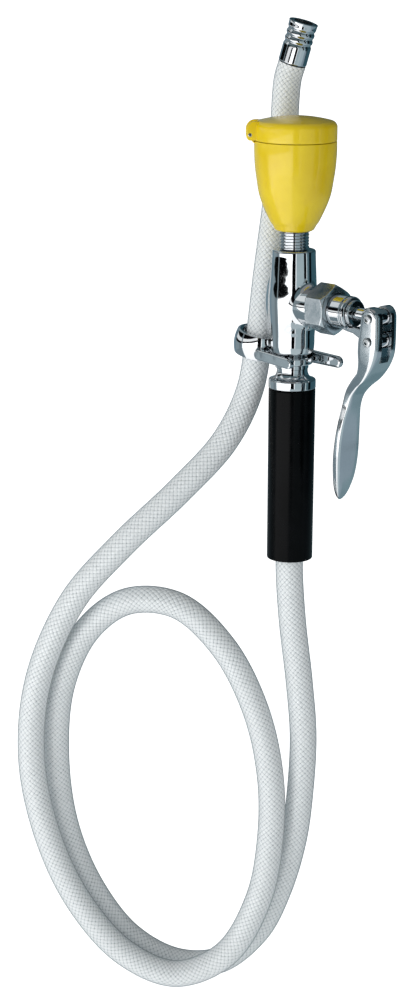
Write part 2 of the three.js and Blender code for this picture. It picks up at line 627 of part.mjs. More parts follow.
// A pan head screw across the fork, its head on the -Y plate and its tip flush with the +Y one.
function pivotScrew(name, z) {
  const face = -FORK_HALF_WIDTH - GAP;
  const profile = [
    [0, face - PIVOT_HEAD_HEIGHT], [PIVOT_HEAD_RADIUS - 0.7, face - PIVOT_HEAD_HEIGHT],
    [PIVOT_HEAD_RADIUS, face - PIVOT_HEAD_HEIGHT + 0.6], [PIVOT_HEAD_RADIUS, face],
    [PIVOT_SCREW_RADIUS, face], [PIVOT_SCREW_RADIUS, FORK_HALF_WIDTH - 0.6],
    [PIVOT_SCREW_RADIUS - 0.6, FORK_HALF_WIDTH], [0, FORK_HALF_WIDTH],
  ];
  const recess = new THREE.CylinderGeometry(1.5, 1.5, 1.6, 6).rotateX(Math.PI / 2);
  recess.translate(0, 0, face - PIVOT_HEAD_HEIGHT);
  const body = cut(solid(revolve(profile, FINE)), recess);
  const geometry = geometryOf(body).rotateX(-Math.PI / 2).translate(PIVOT_X, 0, z);
  piece(name, geometry, 'steel');
}

// ---------------------------------------------------------------- outlet, cup and lid

function outletNipple() {
  const foot = BODY_TOP - NIPPLE_SPIGOT_LENGTH;
  const shoulder = BODY_TOP + GAP;
  const regulatorSeat = NIPPLE_TOP - REGULATOR_THICKNESS - GAP;
  const profile = [
    [REGULATOR_SEAT_BORE, foot], [NIPPLE_SPIGOT_RADIUS, foot], [NIPPLE_SPIGOT_RADIUS, shoulder],
    [NIPPLE_RADIUS - 0.8, shoulder], [NIPPLE_RADIUS, shoulder + 0.8], [NIPPLE_RADIUS, NIPPLE_TOP - 0.8],
    [NIPPLE_RADIUS - 0.8, NIPPLE_TOP], [NIPPLE_BORE, NIPPLE_TOP], [NIPPLE_BORE, regulatorSeat],
    [REGULATOR_SEAT_BORE, regulatorSeat], [REGULATOR_SEAT_BORE, foot],
  ];
  piece('outlet_nipple', revolve(profile), 'chrome');
}

function flowRegulator() {
  const top = NIPPLE_TOP;
  piece('flow_regulator', ring(NIPPLE_BORE - GAP, REGULATOR_BORE, top - REGULATOR_THICKNESS, top), 'grey');
}

function cupWasher() {
  const low = NIPPLE_TOP + GAP;
  piece('cup_washer', ring(NIPPLE_RADIUS, NIPPLE_BORE, low, low + CUP_WASHER_THICKNESS), 'rubber');
}

// The hinge stands off the cup's side, so its pieces are drawn along -X and turned with it.
// The cup carries the middle eye, on a short web that rises from its wall under the rim.
function cupKnuckle(reachIn) {
  const outline = new THREE.Shape();
  outline.moveTo(-reachIn, CUP_RIM - CUP_KNUCKLE_ROOT);
  outline.lineTo(-CUP_RADIUS, CUP_RIM - CUP_KNUCKLE_ROOT);
  outline.absarc(-HINGE_REACH, HINGE_Z, HINGE_EYE_RADIUS, Math.PI * 1.1, 0, true);
  outline.lineTo(HINGE_EYE_RADIUS - HINGE_REACH, CUP_RIM - 0.5);
  outline.lineTo(-reachIn, CUP_RIM - 0.5);
  return plateXZ(outline, CUP_KNUCKLE_HALF);
}

// The lid carries an ear on each side of it, rounded over at the top like a comma.
function lidEar(reachIn) {
  const back = -HINGE_REACH - HINGE_EYE_RADIUS;
  const corner = LID_EAR_CORNER;
  const outline = new THREE.Shape();
  outline.moveTo(-reachIn, HINGE_Z - LID_EAR_DROP);
  outline.lineTo(-HINGE_REACH, HINGE_Z - LID_EAR_DROP);
  outline.absellipse(-HINGE_REACH, HINGE_Z, HINGE_EYE_RADIUS, LID_EAR_DROP, -Math.PI / 2, -Math.PI, true);
  outline.lineTo(back, Math.max(HINGE_Z, LID_RIM - corner));
  outline.absarc(back + corner, LID_RIM - corner, corner, Math.PI, Math.PI / 2, true);
  outline.lineTo(-reachIn, LID_RIM);
  return plateXZ(outline, LID_EAR_THICKNESS / 2);
}

function hingeHole(half) {
  return crossBar(HINGE_PIN_RADIUS + GAP, -HINGE_REACH, HINGE_Z, -half - 1, half + 1);
}

function eyewashCup() {
  const inner = (radius) => radius - CUP_WALL;
  const nippleBore = NIPPLE_RADIUS + GAP;
  const washerTop = NIPPLE_TOP + GAP + CUP_WASHER_THICKNESS + GAP;
  const outside = [
    [0.42, 0], [0.48, 0.015], [0.6, 0.107], [0.78, 0.286],
    [0.875, 0.415], [0.93, 0.56], [0.975, 0.705], [1, 0.88],
  ].map(([share, rise]) => [share * CUP_RADIUS, CUP_BOTTOM + rise * CUP_HEIGHT]);
  const floorRadius = inner(0.74 * CUP_RADIUS);
  const upper = outside.filter(([, z]) => z > CUP_FLOOR + 2).reverse();
  const profile = [
    [nippleBore, CUP_BOTTOM], ...outside, [CUP_RADIUS, CUP_RIM], [inner(CUP_RADIUS), CUP_RIM],
    ...upper.map(([radius, z]) => [inner(radius), z]), [floorRadius - 1, CUP_FLOOR],
    [SPRAY_HOLE_RADIUS, CUP_FLOOR], [SPRAY_HOLE_RADIUS, washerTop], [nippleBore, washerTop],
    [nippleBore, CUP_BOTTOM],
  ];
  const bowl = solid(revolve(profile, LARGE));
  const knuckle = solid(cupKnuckle(inner(CUP_RADIUS) - 0.3).rotateZ(HINGE_TURN));
  const inside = bar(inner(CUP_RADIUS), CUP_RIM - 12, CUP_RIM + 12, LARGE);
  const lidRoom = bar(CUP_RADIUS + GAP, CUP_RIM, CUP_RIM + 20, LARGE);
  const body = bowl.add(cut(knuckle, inside, lidRoom));
  piece('eyewash_cup', geometryOf(cut(body, hingeHole(CUP_KNUCKLE_HALF).rotateZ(HINGE_TURN))), 'yellow');
}

function sprayHead() {
  const under = CUP_FLOOR + GAP;
  const top = under + SPRAY_HEAD_HEIGHT;
  const profile = [
    [0, CUP_FLOOR - 2], [SPRAY_HOLE_RADIUS - GAP, CUP_FLOOR - 2], [SPRAY_HOLE_RADIUS - GAP, under],
    [SPRAY_HEAD_RADIUS, under], [SPRAY_HEAD_RADIUS, under + 1.6], [SPRAY_HEAD_RADIUS - 2.4, under + 3.2],
    [SPRAY_HEAD_RADIUS - 6, top - 0.3], [0, top],
  ];
  let body = solid(revolve(profile));
  body = cut(body, bar(SPRAY_JET_CIRCLE - 1.8, CUP_FLOOR - 3, under + 1.4));
  for (let jet = 0; jet < SPRAY_JETS; jet += 1) {
    const hole = bar(SPRAY_JET_RADIUS, CUP_FLOOR, top + 1, 6);
    const tilt = THREE.MathUtils.degToRad(12);
    hole.translate(0, 0, -top).rotateY(-tilt).translate(SPRAY_JET_CIRCLE - 2.2, 0, top);
    body = cut(body, hole.rotateZ((2 * Math.PI * jet) / SPRAY_JETS));
  }
  piece('spray_head', geometryOf(body), 'yellow');
}

function cupLid() {
  const inner = CUP_RADIUS - LID_WALL;
  const corner = LID_EDGE_RADIUS;
  const edge = [0, 1, 2, 3].map((step) => {
    const turn = (Math.PI / 2) * (step / 3) * 0.9;
    const radius = CUP_RADIUS - corner + corner * Math.cos(turn);
    return [radius, LID_RIM - corner + corner * Math.sin(turn)];
  });
  const dome = [0.78, 0.56, 0.32].map((share) => {
    return [share * CUP_RADIUS, LID_RIM + LID_DOME * (1 - share ** 2) ** 1.1];
  });
  const outside = [[0, LID_BOTTOM], [CUP_RADIUS, LID_BOTTOM], ...edge, ...dome, [0, LID_RIM + LID_DOME]];
  const ceiling = LID_RIM - LID_WALL;
  const cavity = [
    [0, LID_BOTTOM - LID_SKIRT], [inner, LID_BOTTOM - LID_SKIRT], [inner, ceiling - 2.4],
    [0.85 * inner, ceiling], [0.5 * inner, ceiling + 0.7 * LID_DOME], [0, ceiling + LID_DOME],
  ];
  const ears = [-1, 1].map((side) => {
    return lidEar(inner - 1).translate(0, side * LID_EAR_MIDDLE, 0).rotateZ(HINGE_TURN);
  });
  const cupRoom = bar(CUP_RADIUS + GAP, CUP_RIM - 20, LID_BOTTOM, LARGE);
  const hole = hingeHole(LID_EAR_MIDDLE + LID_EAR_THICKNESS).rotateZ(HINGE_TURN);
  const body = join(solid(revolve(outside, LARGE)), ...ears);
  piece('cup_lid', geometryOf(cut(body, revolve(cavity, LARGE), cupRoom, hole)), 'yellow');
}

function lidHingePin() {
  const half = LID_EAR_MIDDLE + LID_EAR_THICKNESS / 2 + GAP;
  const pin = crossBar(HINGE_PIN_RADIUS, -HINGE_REACH, HINGE_Z, -half, half);
  piece('lid_hinge_pin', pin.rotateZ(HINGE_TURN), 'steel');
}

// ---------------------------------------------------------------- hose ring bracket

// A bar with round ends in the XZ plane, from one [x, z, height] to the other.
function armOutline([x0, z0, h0], [x1, z1, h1]) {
  const outline = new THREE.Shape();
  outline.moveTo(x0, z0 - h0 / 2);
  outline.lineTo(x1, z1 - h1 / 2);
  outline.absarc(x1, z1, h1 / 2, -Math.PI / 2, Math.PI / 2, false);
  outline.lineTo(x0, z0 + h0 / 2);
  outline.absarc(x0, z0, h0 / 2, Math.PI / 2, Math.PI * 1.5, false);
  return outline;
}

function hoseRingBracket() {
  const low = BRACKET_Z - BRACKET_COLLAR_HEIGHT / 2;
  const collar = bar(BRACKET_COLLAR_RADIUS, low, low + BRACKET_COLLAR_HEIGHT);
  const half = RING_HEIGHT / 2;
  const band = revolve([
    [RING_BORE, 1 - half], [RING_BORE + 1.2, -half], [RING_RADIUS - 0.6, -half],
    [RING_RADIUS + RING_BULGE, -2.4], [RING_RADIUS + RING_BULGE, 2.4], [RING_RADIUS - 0.6, half],
    [RING_BORE + 1.2, half], [RING_BORE, half - 1], [RING_BORE, 1 - half],
  ], LARGE);
  const place = (geometry) => geometry.rotateY(RING_TILT).translate(RING_X, 0, RING_Z);
  const ringEndZ = BRACKET_Z + ARM_RISE;
  const nearStart = [NEAR_ARM_START_X, ringEndZ, ARM_HEIGHT];
  const nearOutline = armOutline(nearStart, [NEAR_ARM_END_X, BRACKET_Z, ARM_HEIGHT]);
  const farStart = [RING_X + 8, ringEndZ, ARM_HEIGHT + 2];
  const farOutline = armOutline(farStart, [PEG_END_X, BRACKET_Z + 1, ARM_HEIGHT + 1]);
  const near = plateXZ(nearOutline, ARM_THICKNESS / 2, 0.8);
  const far = plateXZ(farOutline, ARM_THICKNESS / 2, 1.4);
  const body = join(solid(collar), near.translate(0, -ARM_Y, 0), far.translate(0, ARM_Y, 0), place(band));
  const hoseBore = place(bar(RING_BORE, -half - 6, half + 6, LARGE));
  const neckBore = bar(NECK_RADIUS + GAP, low - 20, low + 20);
  const bodyRoom = solid(skin(bodyRings(GAP + 0.1)));
  piece('hose_ring_bracket', geometryOf(cut(body, hoseBore, neckBore).subtract(bodyRoom)), 'chrome');
}

// ---------------------------------------------------------------- grip

function gripCollar() {
  const top = NECK_BOTTOM - GAP;
  const spigotRoom = NECK_SPIGOT_RADIUS + GAP;
  const tubeRoom = GRIP_TUBE_RADIUS + GAP;
  const step = NECK_BOTTOM - NECK_SPIGOT_LENGTH - GAP;
  const bottom = GRIP_TOP + GAP;
  const flare = [0, 0.35, 0.7, 1].map((share) => {
    const turn = share * Math.PI / 2;
    const radius = NECK_RADIUS + (GRIP_COLLAR_RADIUS - NECK_RADIUS) * (1 - Math.cos(turn));
    return [radius, top - 1.6 + (GRIP_COLLAR_FLARE_Z - top + 1.6) * Math.sin(turn)];
  });
  const profile = [
    [spigotRoom, top], [NECK_RADIUS, top], ...flare, [GRIP_COLLAR_RADIUS, bottom],
    [tubeRoom, bottom], [tubeRoom, step], [spigotRoom, step], [spigotRoom, top],
  ];
  piece('grip_collar', revolve(profile, LARGE), 'chrome');
}

function gripTube() {
  const top = NECK_BOTTOM - NECK_SPIGOT_LENGTH - GAP - GAP;
  const bore = GRIP_TUBE_RADIUS - GRIP_TUBE_WALL;
  piece('grip_tube', ring(GRIP_TUBE_RADIUS, bore, GRIP_TUBE_BOTTOM, top), 'steel');
}

function gripSleeve() {
  const bore = GRIP_TUBE_RADIUS + GAP;
  const socket = HOSE_RADIUS + HOSE_SOCKET_PLAY;
  const step = HOSE_START + 1;
  const profile = [
    [socket, GRIP_BOTTOM], [GRIP_BOTTOM_RADIUS - 1.6, GRIP_BOTTOM],
    [GRIP_BOTTOM_RADIUS - 0.3, GRIP_BOTTOM + 1], [GRIP_BOTTOM_RADIUS, GRIP_BOTTOM + 2.4],
    [GRIP_TOP_RADIUS, GRIP_TOP - 1], [GRIP_TOP_RADIUS - 0.6, GRIP_TOP],
    [bore, GRIP_TOP], [bore, step], [socket, step], [socket, GRIP_BOTTOM],
  ];
  piece('grip_sleeve', revolve(profile, LARGE), 'black');
}

function hoseCoupling() {
  const flangeTop = GRIP_TUBE_BOTTOM - GAP;
  const spigot = GRIP_TUBE_RADIUS - GRIP_TUBE_WALL - GAP;
  const flangeBottom = flangeTop - COUPLING_FLANGE;
  const profile = [
    [COUPLING_BORE, flangeBottom], [GRIP_TUBE_RADIUS, flangeBottom], [GRIP_TUBE_RADIUS, flangeTop],
    [spigot, flangeTop], [spigot, flangeTop + COUPLING_SPIGOT_LENGTH],
    [COUPLING_BORE, flangeTop + COUPLING_SPIGOT_LENGTH], [COUPLING_BORE, flangeBottom],
  ];
  piece('hose_coupling', revolve(profile), 'brass');
}

// ---------------------------------------------------------------- supply hose and ferrule

// The hose's middle line, chosen by hand: out of the grip, round one hanging loop, up through the
// bracket's ring, past the cup and into the ferrule.
const HOSE_ROUTE = [
  [0, 0, HOSE_START], [0, 0, -196], [2, 2, -234], [6, 6, -280], [8, 9, -322], [6, 9, -364], [1, 8, -404],
  [-9, 3, -446], [-22, -6, -480], [-43, -25, -505], [-66, -48, -506], [-90, -73, -486], [-110, -93, -448],
  [-124, -107, -398], [-129, -112, -342], [-124, -110, -286], [-109, -97, -243], [-86, -79, -221],
  [-58, -56, -223], [-32, -35, -253], [-13, -20, -300], [-3, -14, -350], [-2, -14, -398], [-6, -22, -446],
  [-22, -40, -489], [-48, -66, -505], [-76, -92, -489], [-101, -115, -449], [-119, -130, -397],
  [-129, -136, -338], [-127, -130, -278], [-111, -111, -220], [-86, -86, -178], [-60, -53, -138],
  [-43, -24, -103], [-35.5, -7, -68], [RING_X, 0, RING_Z], [-36, 10.5, 17], [-36.5, 19, 62],
  [-36, 25.5, 112],
];

function hoseRoute() {
  const points = HOSE_ROUTE.map((place) => new THREE.Vector3(...place));
  const end = FERRULE_TOP.clone().addScaledVector(FERRULE_AXIS, -FERRULE_LENGTH - GAP);
  points.push(end.clone().addScaledVector(FERRULE_AXIS, -12), end);
  return new THREE.CatmullRomCurve3(points);
}

function supplyHose() {
  const section = new THREE.Shape();
  for (let side = 0; side < HOSE_SIDES; side += 1) {
    const angle = (2 * Math.PI * side) / HOSE_SIDES;
    const place = [HOSE_RADIUS * Math.cos(angle), HOSE_RADIUS * Math.sin(angle)];
    if (side === 0) section.moveTo(...place);
    else section.lineTo(...place);
  }
  const options = { steps: HOSE_STEPS, extrudePath: hoseRoute(), bevelEnabled: false };
  piece('supply_hose', new THREE.ExtrudeGeometry(section, options), 'white');
}

function ferruleGroup() {
  const holder = new THREE.Group();
  holder.quaternion.setFromUnitVectors(new THREE.Vector3(0, 0, 1), FERRULE_AXIS);
  holder.position.copy(FERRULE_TOP);
  group.add(holder);
  return holder;
}

function supplyFerrule(holder) {
  const ribPitch = 4.2;
  const firstRib = -FERRULE_RIBS * ribPitch - 2.2;
  const ribs = [];
  for (let rib = 0; rib < FERRULE_RIBS; rib += 1) {
    const z = firstRib + rib * ribPitch;
    ribs.push([FERRULE_RADIUS - FERRULE_RIB_DEPTH, z], [FERRULE_RADIUS, z + 2.1]);
  }
  const profile = [
    [FERRULE_BORE, -FERRULE_LENGTH], [FERRULE_RADIUS - 0.4, -FERRULE_LENGTH],
    [FERRULE_RADIUS, -FERRULE_LENGTH + 0.8], [FERRULE_RADIUS, firstRib - 1.4], ...ribs,
    [FERRULE_RADIUS - FERRULE_RIB_DEPTH, -2.2], [FERRULE_RADIUS, 0], [FERRULE_BORE, 0],
    [FERRULE_BORE, -FERRULE_LENGTH],
  ];
  piece('supply_ferrule', revolve(profile), 'chrome', holder);
}

function hoseStem(holder) {
  const outer = FERRULE_BORE - GAP;
  const profile = [
    [INLET_BORE_RADIUS, -FERRULE_LENGTH], [outer, -FERRULE_LENGTH], [outer, 0], [INLET_SOCKET_RADIUS, 0],
    [INLET_SOCKET_RADIUS, -INLET_SOCKET_DEPTH], [INLET_BORE_RADIUS, -INLET_SOCKET_DEPTH],
    [INLET_BORE_RADIUS, -FERRULE_LENGTH],
  ];
  piece('hose_stem', revolve(profile), 'brass', holder);
}

function inletGasket(holder) {
  const low = -INLET_SOCKET_DEPTH + GAP;
  const gasket = ring(INLET_SOCKET_RADIUS - GAP, INLET_BORE_RADIUS, low, low + INLET_GASKET_THICKNESS);
  piece('inlet_gasket', gasket, 'rubber', holder);
}

// ---------------------------------------------------------------- the assembly

valveBody();
seatRing();
seatWasher();
washerScrew();
valveStem();
returnSpring();
bonnetGasket();
bonnet();
bonnetNut();
stemPacking();
packingNut();
lever();
pivotScrew('fulcrum_screw', -FULCRUM_DROP);
pivotScrew('stem_screw', 0);
outletNipple();
flowRegulator();
cupWasher();
eyewashCup();
sprayHead();
cupLid();
lidHingePin();
hoseRingBracket();
gripCollar();
gripTube();
gripSleeve();
hoseCoupling();
supplyHose();
const ferruleHolder = ferruleGroup();
supplyFerrule(ferruleHolder);
hoseStem(ferruleHolder);
inletGasket(ferruleHolder);

export default group;
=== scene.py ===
"""Looks of a hand-held eyewash and drench unit on a squeeze spray valve.

The cast valve, its bonnet and forked lever, the yellow cup with its flip lid, the hose ring
bracket, the black grip and the braided hose are worked out as smooth surfaces, in the frame and at
the sizes of the solids that they stand for. Shapes are in millimetres in the valve's own frame,
where the outlet axis is x = y = 0 and the stem runs along +X at z = 0.
"""
import logging
import math
from dataclasses import dataclass
from enum import Enum
from functools import cache

import bpy
import numpy as np
from mathutils import Matrix


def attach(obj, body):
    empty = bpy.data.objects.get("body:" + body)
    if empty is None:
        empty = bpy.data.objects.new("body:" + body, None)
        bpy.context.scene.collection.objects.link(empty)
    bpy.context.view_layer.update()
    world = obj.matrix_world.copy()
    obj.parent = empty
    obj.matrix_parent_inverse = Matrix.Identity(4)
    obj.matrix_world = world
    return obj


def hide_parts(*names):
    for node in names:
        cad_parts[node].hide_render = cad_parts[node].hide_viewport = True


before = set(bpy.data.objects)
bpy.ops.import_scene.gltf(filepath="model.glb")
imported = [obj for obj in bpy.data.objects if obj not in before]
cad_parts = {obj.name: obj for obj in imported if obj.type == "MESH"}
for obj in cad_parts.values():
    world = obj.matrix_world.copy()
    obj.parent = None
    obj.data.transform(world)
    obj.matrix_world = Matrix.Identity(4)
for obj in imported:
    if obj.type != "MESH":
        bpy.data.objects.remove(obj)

LOG = logging.getLogger("eyewash_unit")

# Where the valve's own origin stands in the row frame
VALVE_ORIGIN = np.array([23.0, -31.0, -193.0])
GAP = 0.3
# The stem's pivot, and how far the fulcrum hangs under it
PIVOT_X = 80.4
DROP = 16.0
HINGE_TURN = math.radians(45.0)

Profile = list[tuple[float, float]]
Source = bpy.types.NodeSocket | bpy.types.Node


class Body(Enum):
    """The rigid bodies that pieces ride on."""

    ROOT = "root"
    LEVER = "lever"
    STEM = "stem"
    LID = "lid"


class Axis(Enum):
    """The axis that a turned piece is drawn about."""

    X = "x"
    Y = "y"
    Z = "z"


# ---- surfaces


@dataclass
class Shell:
    """A closed skin: points in the valve's frame, faces by size and their texture places.

    Args:
        points: one row of x, y, z for each point.
        faces: arrays of point numbers, each for faces with one number of corners.
        places: for each of those arrays, u and v at every corner.
    """

    points: np.ndarray
    faces: list[np.ndarray]
    places: list[np.ndarray]

    def outward(self) -> "Shell":
        """Turn every face round if the enclosed volume comes out negative."""
        total = 0.0
        for rows in self.faces:
            corner = self.points[rows]
            for k in range(1, rows.shape[1] - 1):
                total += float(np.sum(corner[:, 0] * np.cross(corner[:, k], corner[:, k + 1])))
        if total < 0.0:
            self.faces = [rows[:, ::-1] for rows in self.faces]
            self.places = [uv[:, ::-1] for uv in self.places]
        return self

    def moved(self, x: float = 0.0, y: float = 0.0, z: float = 0.0) -> "Shell":
        """Shift the skin."""
        self.points = self.points + np.array([x, y, z])
        return self

    def turned(self, axis: Axis, angle: float) -> "Shell":
        """Turn the skin about an axis through the origin by the right-hand rule."""
        self.points = self.points @ np.array(Matrix.Rotation(angle, 3, axis.name)).T
        return self


def unit(rows: np.ndarray) -> np.ndarray:
    """Each vector scaled to length one."""
    return rows / np.maximum(np.linalg.norm(rows, axis=-1, keepdims=True), 1e-9)


def travelled(points: np.ndarray) -> np.ndarray:
    """How far along a line of points each one is."""
    return np.concatenate([[0.0], np.cumsum(np.linalg.norm(np.diff(points, axis=0), axis=1))])


def full_turn(sides: int) -> np.ndarray:
    """Even angles round a circle."""
    return np.linspace(0.0, 2 * np.pi, sides, endpoint=False)


def around(radius: np.ndarray, angle: np.ndarray, height: np.ndarray | float,
           axis: Axis = Axis.Z) -> np.ndarray:
    """Points at a radius and angle about an axis and a height along it."""
    a, b = radius * np.cos(angle), radius * np.sin(angle)
    up = np.broadcast_to(height, a.shape)
    return np.stack({Axis.Z: (a, b, up), Axis.X: (up, a, b), Axis.Y: (b, up, a)}[axis], axis=-1)


def bend(start: np.ndarray, corner: np.ndarray, end: np.ndarray, t: np.ndarray) -> np.ndarray:
    """The quadratic curve from start to end that is tangent to both sides of a corner."""
    return (1 - t) ** 2 * start + 2 * t * (1 - t) * corner + t**2 * end


def eased(stations: Profile, t: np.ndarray) -> np.ndarray:
    """Value at each t of a smooth line through (t, value) stations, level at its two ends.

    Each span is a cubic with the slope of its neighbours' chord at inner stations.
    """
    x, v = np.array(stations, float).T
    slope = np.zeros_like(v)
    slope[1:-1] = (v[2:] - v[:-2]) / (x[2:] - x[:-2])
    i = np.clip(np.searchsorted(x, t, "right") - 1, 0, len(x) - 2)
    span = x[i + 1] - x[i]
    u = np.clip((t - x[i]) / span, 0.0, 1.0)
    base = v[i] * (1 + 2 * u) * (1 - u) ** 2 + v[i + 1] * u * u * (3 - 2 * u)
    return base + span * (slope[i] * u * (1 - u) ** 2 - slope[i + 1] * u * u * (1 - u))


def arc(x: float, z: float, radius: float, start: float, end: float, steps: int = 24) -> np.ndarray:
    """Points on a circle in the XZ plane from one angle to another, in degrees from +X."""
    angle = np.radians(np.linspace(start, end, steps))
    return np.stack([x + radius * np.cos(angle), z + radius * np.sin(angle)], axis=1)


def grid_shell(grid: np.ndarray, looped: bool = False) -> Shell:
    """Close a grid of points, rows × columns × 3, into a skin.

    Columns run round and always join. Rows run along: they join too when looped, and otherwise
    each end is closed by a fan about the middle of its row. u is the share of the way round and
    v the mean distance along, in metres.
    """
    rows, columns = grid.shape[:2]
    points = grid.reshape(-1, 3)
    closing = grid[:1] if looped else grid[:0]
    steps = np.linalg.norm(np.diff(np.concatenate([grid, closing]), axis=0), axis=2).mean(axis=1)
    along = np.concatenate([[0.0], np.cumsum(steps / 1000.0)])
    i, j = (part.ravel() for part in np.meshgrid(np.arange(len(steps)), np.arange(columns), indexing="ij"))
    low, high, after = i * columns, ((i + 1) % rows) * columns, (j + 1) % columns
    faces = [np.stack([low + j, low + after, high + after, high + j], axis=1)]
    u0, u1, v0, v1 = j / columns, (j + 1) / columns, along[i], along[i + 1]
    places = [np.stack([u0, v0, u1, v0, u1, v1, u0, v1], axis=1).reshape(-1, 4, 2)]
    if not looped:
        here = np.arange(columns)
        ahead, last, middle = (here + 1) % columns, (rows - 1) * columns, np.full(columns, len(points))
        faces += [np.stack([middle, ahead, here], axis=1),
                  np.stack([middle + 1, last + here, last + ahead], axis=1)]
        places += [np.zeros((columns, 3, 2))] * 2
        points = np.concatenate([points, [grid[0].mean(axis=0), grid[-1].mean(axis=0)]])
    return Shell(points, faces, places).outward()


def rounded(profile: Profile, radius: float, steps: int = 4, closed: bool = True) -> np.ndarray:
    """Round every corner of a profile. Unless it is closed, its two ends stay as they are.

    The curve leaves and meets the sides at the radius from the corner, or at 0.45 of the side.
    """
    corner = np.array(profile, float)
    sides = [np.roll(corner, shift, axis=0) - corner for shift in (1, -1)]
    lengths = [np.linalg.norm(side, axis=1, keepdims=True) for side in sides]
    start, end = (corner + side / length * np.minimum(radius, 0.45 * length)
                  for side, length in zip(sides, lengths))
    t = np.linspace(0.0, 1.0, steps + 1)[None, :, None]
    curve = bend(start[:, None], corner[:, None], end[:, None], t)
    if closed:
        return curve.reshape(-1, 2)
    return np.concatenate([corner[:1], curve[1:-1].reshape(-1, 2), corner[-1:]])


def spun(profile: np.ndarray, axis: Axis = Axis.Z, sides: int = 96, looped: bool = True) -> Shell:
    """Turn a profile, rows of radius and height, about an axis.

    A looped profile is a closed ring in section. An open one is closed by its ends.
    """
    radius, height = np.asarray(profile, float).T[:, :, None]
    return grid_shell(around(radius, full_turn(sides), height, axis), looped)


def plate(outline: np.ndarray, half_width: float, bevel: float) -> Shell:
    """Thicken an outline of x and z to both sides of y = 0, with rounded edges.

    Each row of the grid is the outline drawn in towards its middle line by the amount that a
    quarter round of the bevel's size gives at that depth.
    """
    edge = np.roll(outline, -1, axis=0) - np.roll(outline, 1, axis=0)
    normal = unit(np.stack([edge[:, 1], -edge[:, 0]], axis=1))
    after = np.roll(outline, -1, axis=0)
    twice_area = np.sum(outline[:, 0] * after[:, 1] - outline[:, 1] * after[:, 0])
    turn = np.linspace(0.0, np.pi / 2, 5)
    draw, sink = bevel * (1 - np.sin(turn)), bevel * (1 - np.cos(turn)) - half_width
    inset, depth = np.concatenate([draw, draw[::-1]]), np.concatenate([sink, -sink[::-1]])
    flat = outline - normal * np.sign(twice_area) * inset[:, None, None]
    y = np.broadcast_to(depth[:, None], flat.shape[:2])
    grid = np.stack([flat[:, :, 0], y, flat[:, :, 1]], axis=2)
    wall, count = grid_shell(grid), len(outline)
    ring = np.arange(count)
    caps = np.stack([ring[::-1], ring + (len(depth) - 1) * count])
    return Shell(grid.reshape(-1, 3), [wall.faces[0], caps],
                 [wall.places[0], np.zeros((2, count, 2))]).outward()


def to_frame(points: np.ndarray) -> np.ndarray:
    """Points of the valve's frame in millimetres as points of the row frame in metres."""
    return (np.asarray(points, float) + VALVE_ORIGIN) / 1000.0


def merged(shells: list[Shell]) -> tuple[np.ndarray, list[np.ndarray], list[np.ndarray]]:
    """Points of several skins in the row frame, with their faces and texture places."""
    starts = np.cumsum([0] + [len(shell.points) for shell in shells])
    points = to_frame(np.concatenate([shell.points for shell in shells]))
    faces = [rows + start for shell, start in zip(shells, starts) for rows in shell.faces]
    return points, faces, [uv for shell in shells for uv in shell.places]


def put(name: str, data: bpy.types.ID) -> bpy.types.Object:
    """A new object of the scene."""
    thing = bpy.data.objects.new(name, data)
    bpy.context.scene.collection.objects.link(thing)
    return thing


# ---- finishes


def linear(code: str) -> tuple[float, float, float, float]:
    """An sRGB hex colour as linear red, green, blue and an alpha of one."""
    share = np.array([int(code[k:k + 2], 16) for k in (1, 3, 5)]) / 255.0
    light = np.where(share <= 0.04045, share / 12.92, ((share + 0.055) / 1.055) ** 2.4)
    return (*(float(value) for value in light), 1.0)


def add_node(tree: bpy.types.NodeTree, kind: str, values: dict[str | int, object] | None = None,
             links: dict[str | int, Source] | None = None,
             stops: list[tuple[float, str]] | None = None, **settings: object) -> bpy.types.Node:
    """Add one node.

    Args:
        tree: the material's tree.
        kind: the node's type name, after ShaderNode.
        values: input values, by name or place.
        links: what feeds inputs, by name or place: a socket, or a node for its first output.
        stops: places and sRGB hex colours of a colour ramp.
        **settings: the node's own properties.
    """
    node = tree.nodes.new(f"ShaderNode{kind}")
    for key, value in settings.items():
        setattr(node, key, value)
    for key, value in (values or {}).items():
        node.inputs[key].default_value = value
    for key, source in (links or {}).items():
        socket = source.outputs[0] if isinstance(source, bpy.types.Node) else source
        tree.links.new(socket, node.inputs[key])
    if stops:
        elements = node.color_ramp.elements
        for element, (place, code) in zip(elements, (stops[0], stops[-1])):
            element.position, element.color = place, linear(code)
        for place, code in stops[1:-1]:
            elements.new(place).color = linear(code)
    return node


def new_material(name: str) -> tuple[bpy.types.Material, bpy.types.NodeTree]:
    """An empty material and its tree."""
    material = bpy.data.materials.new(name)
    material.use_nodes = True
    material.node_tree.nodes.clear()
    return material, material.node_tree


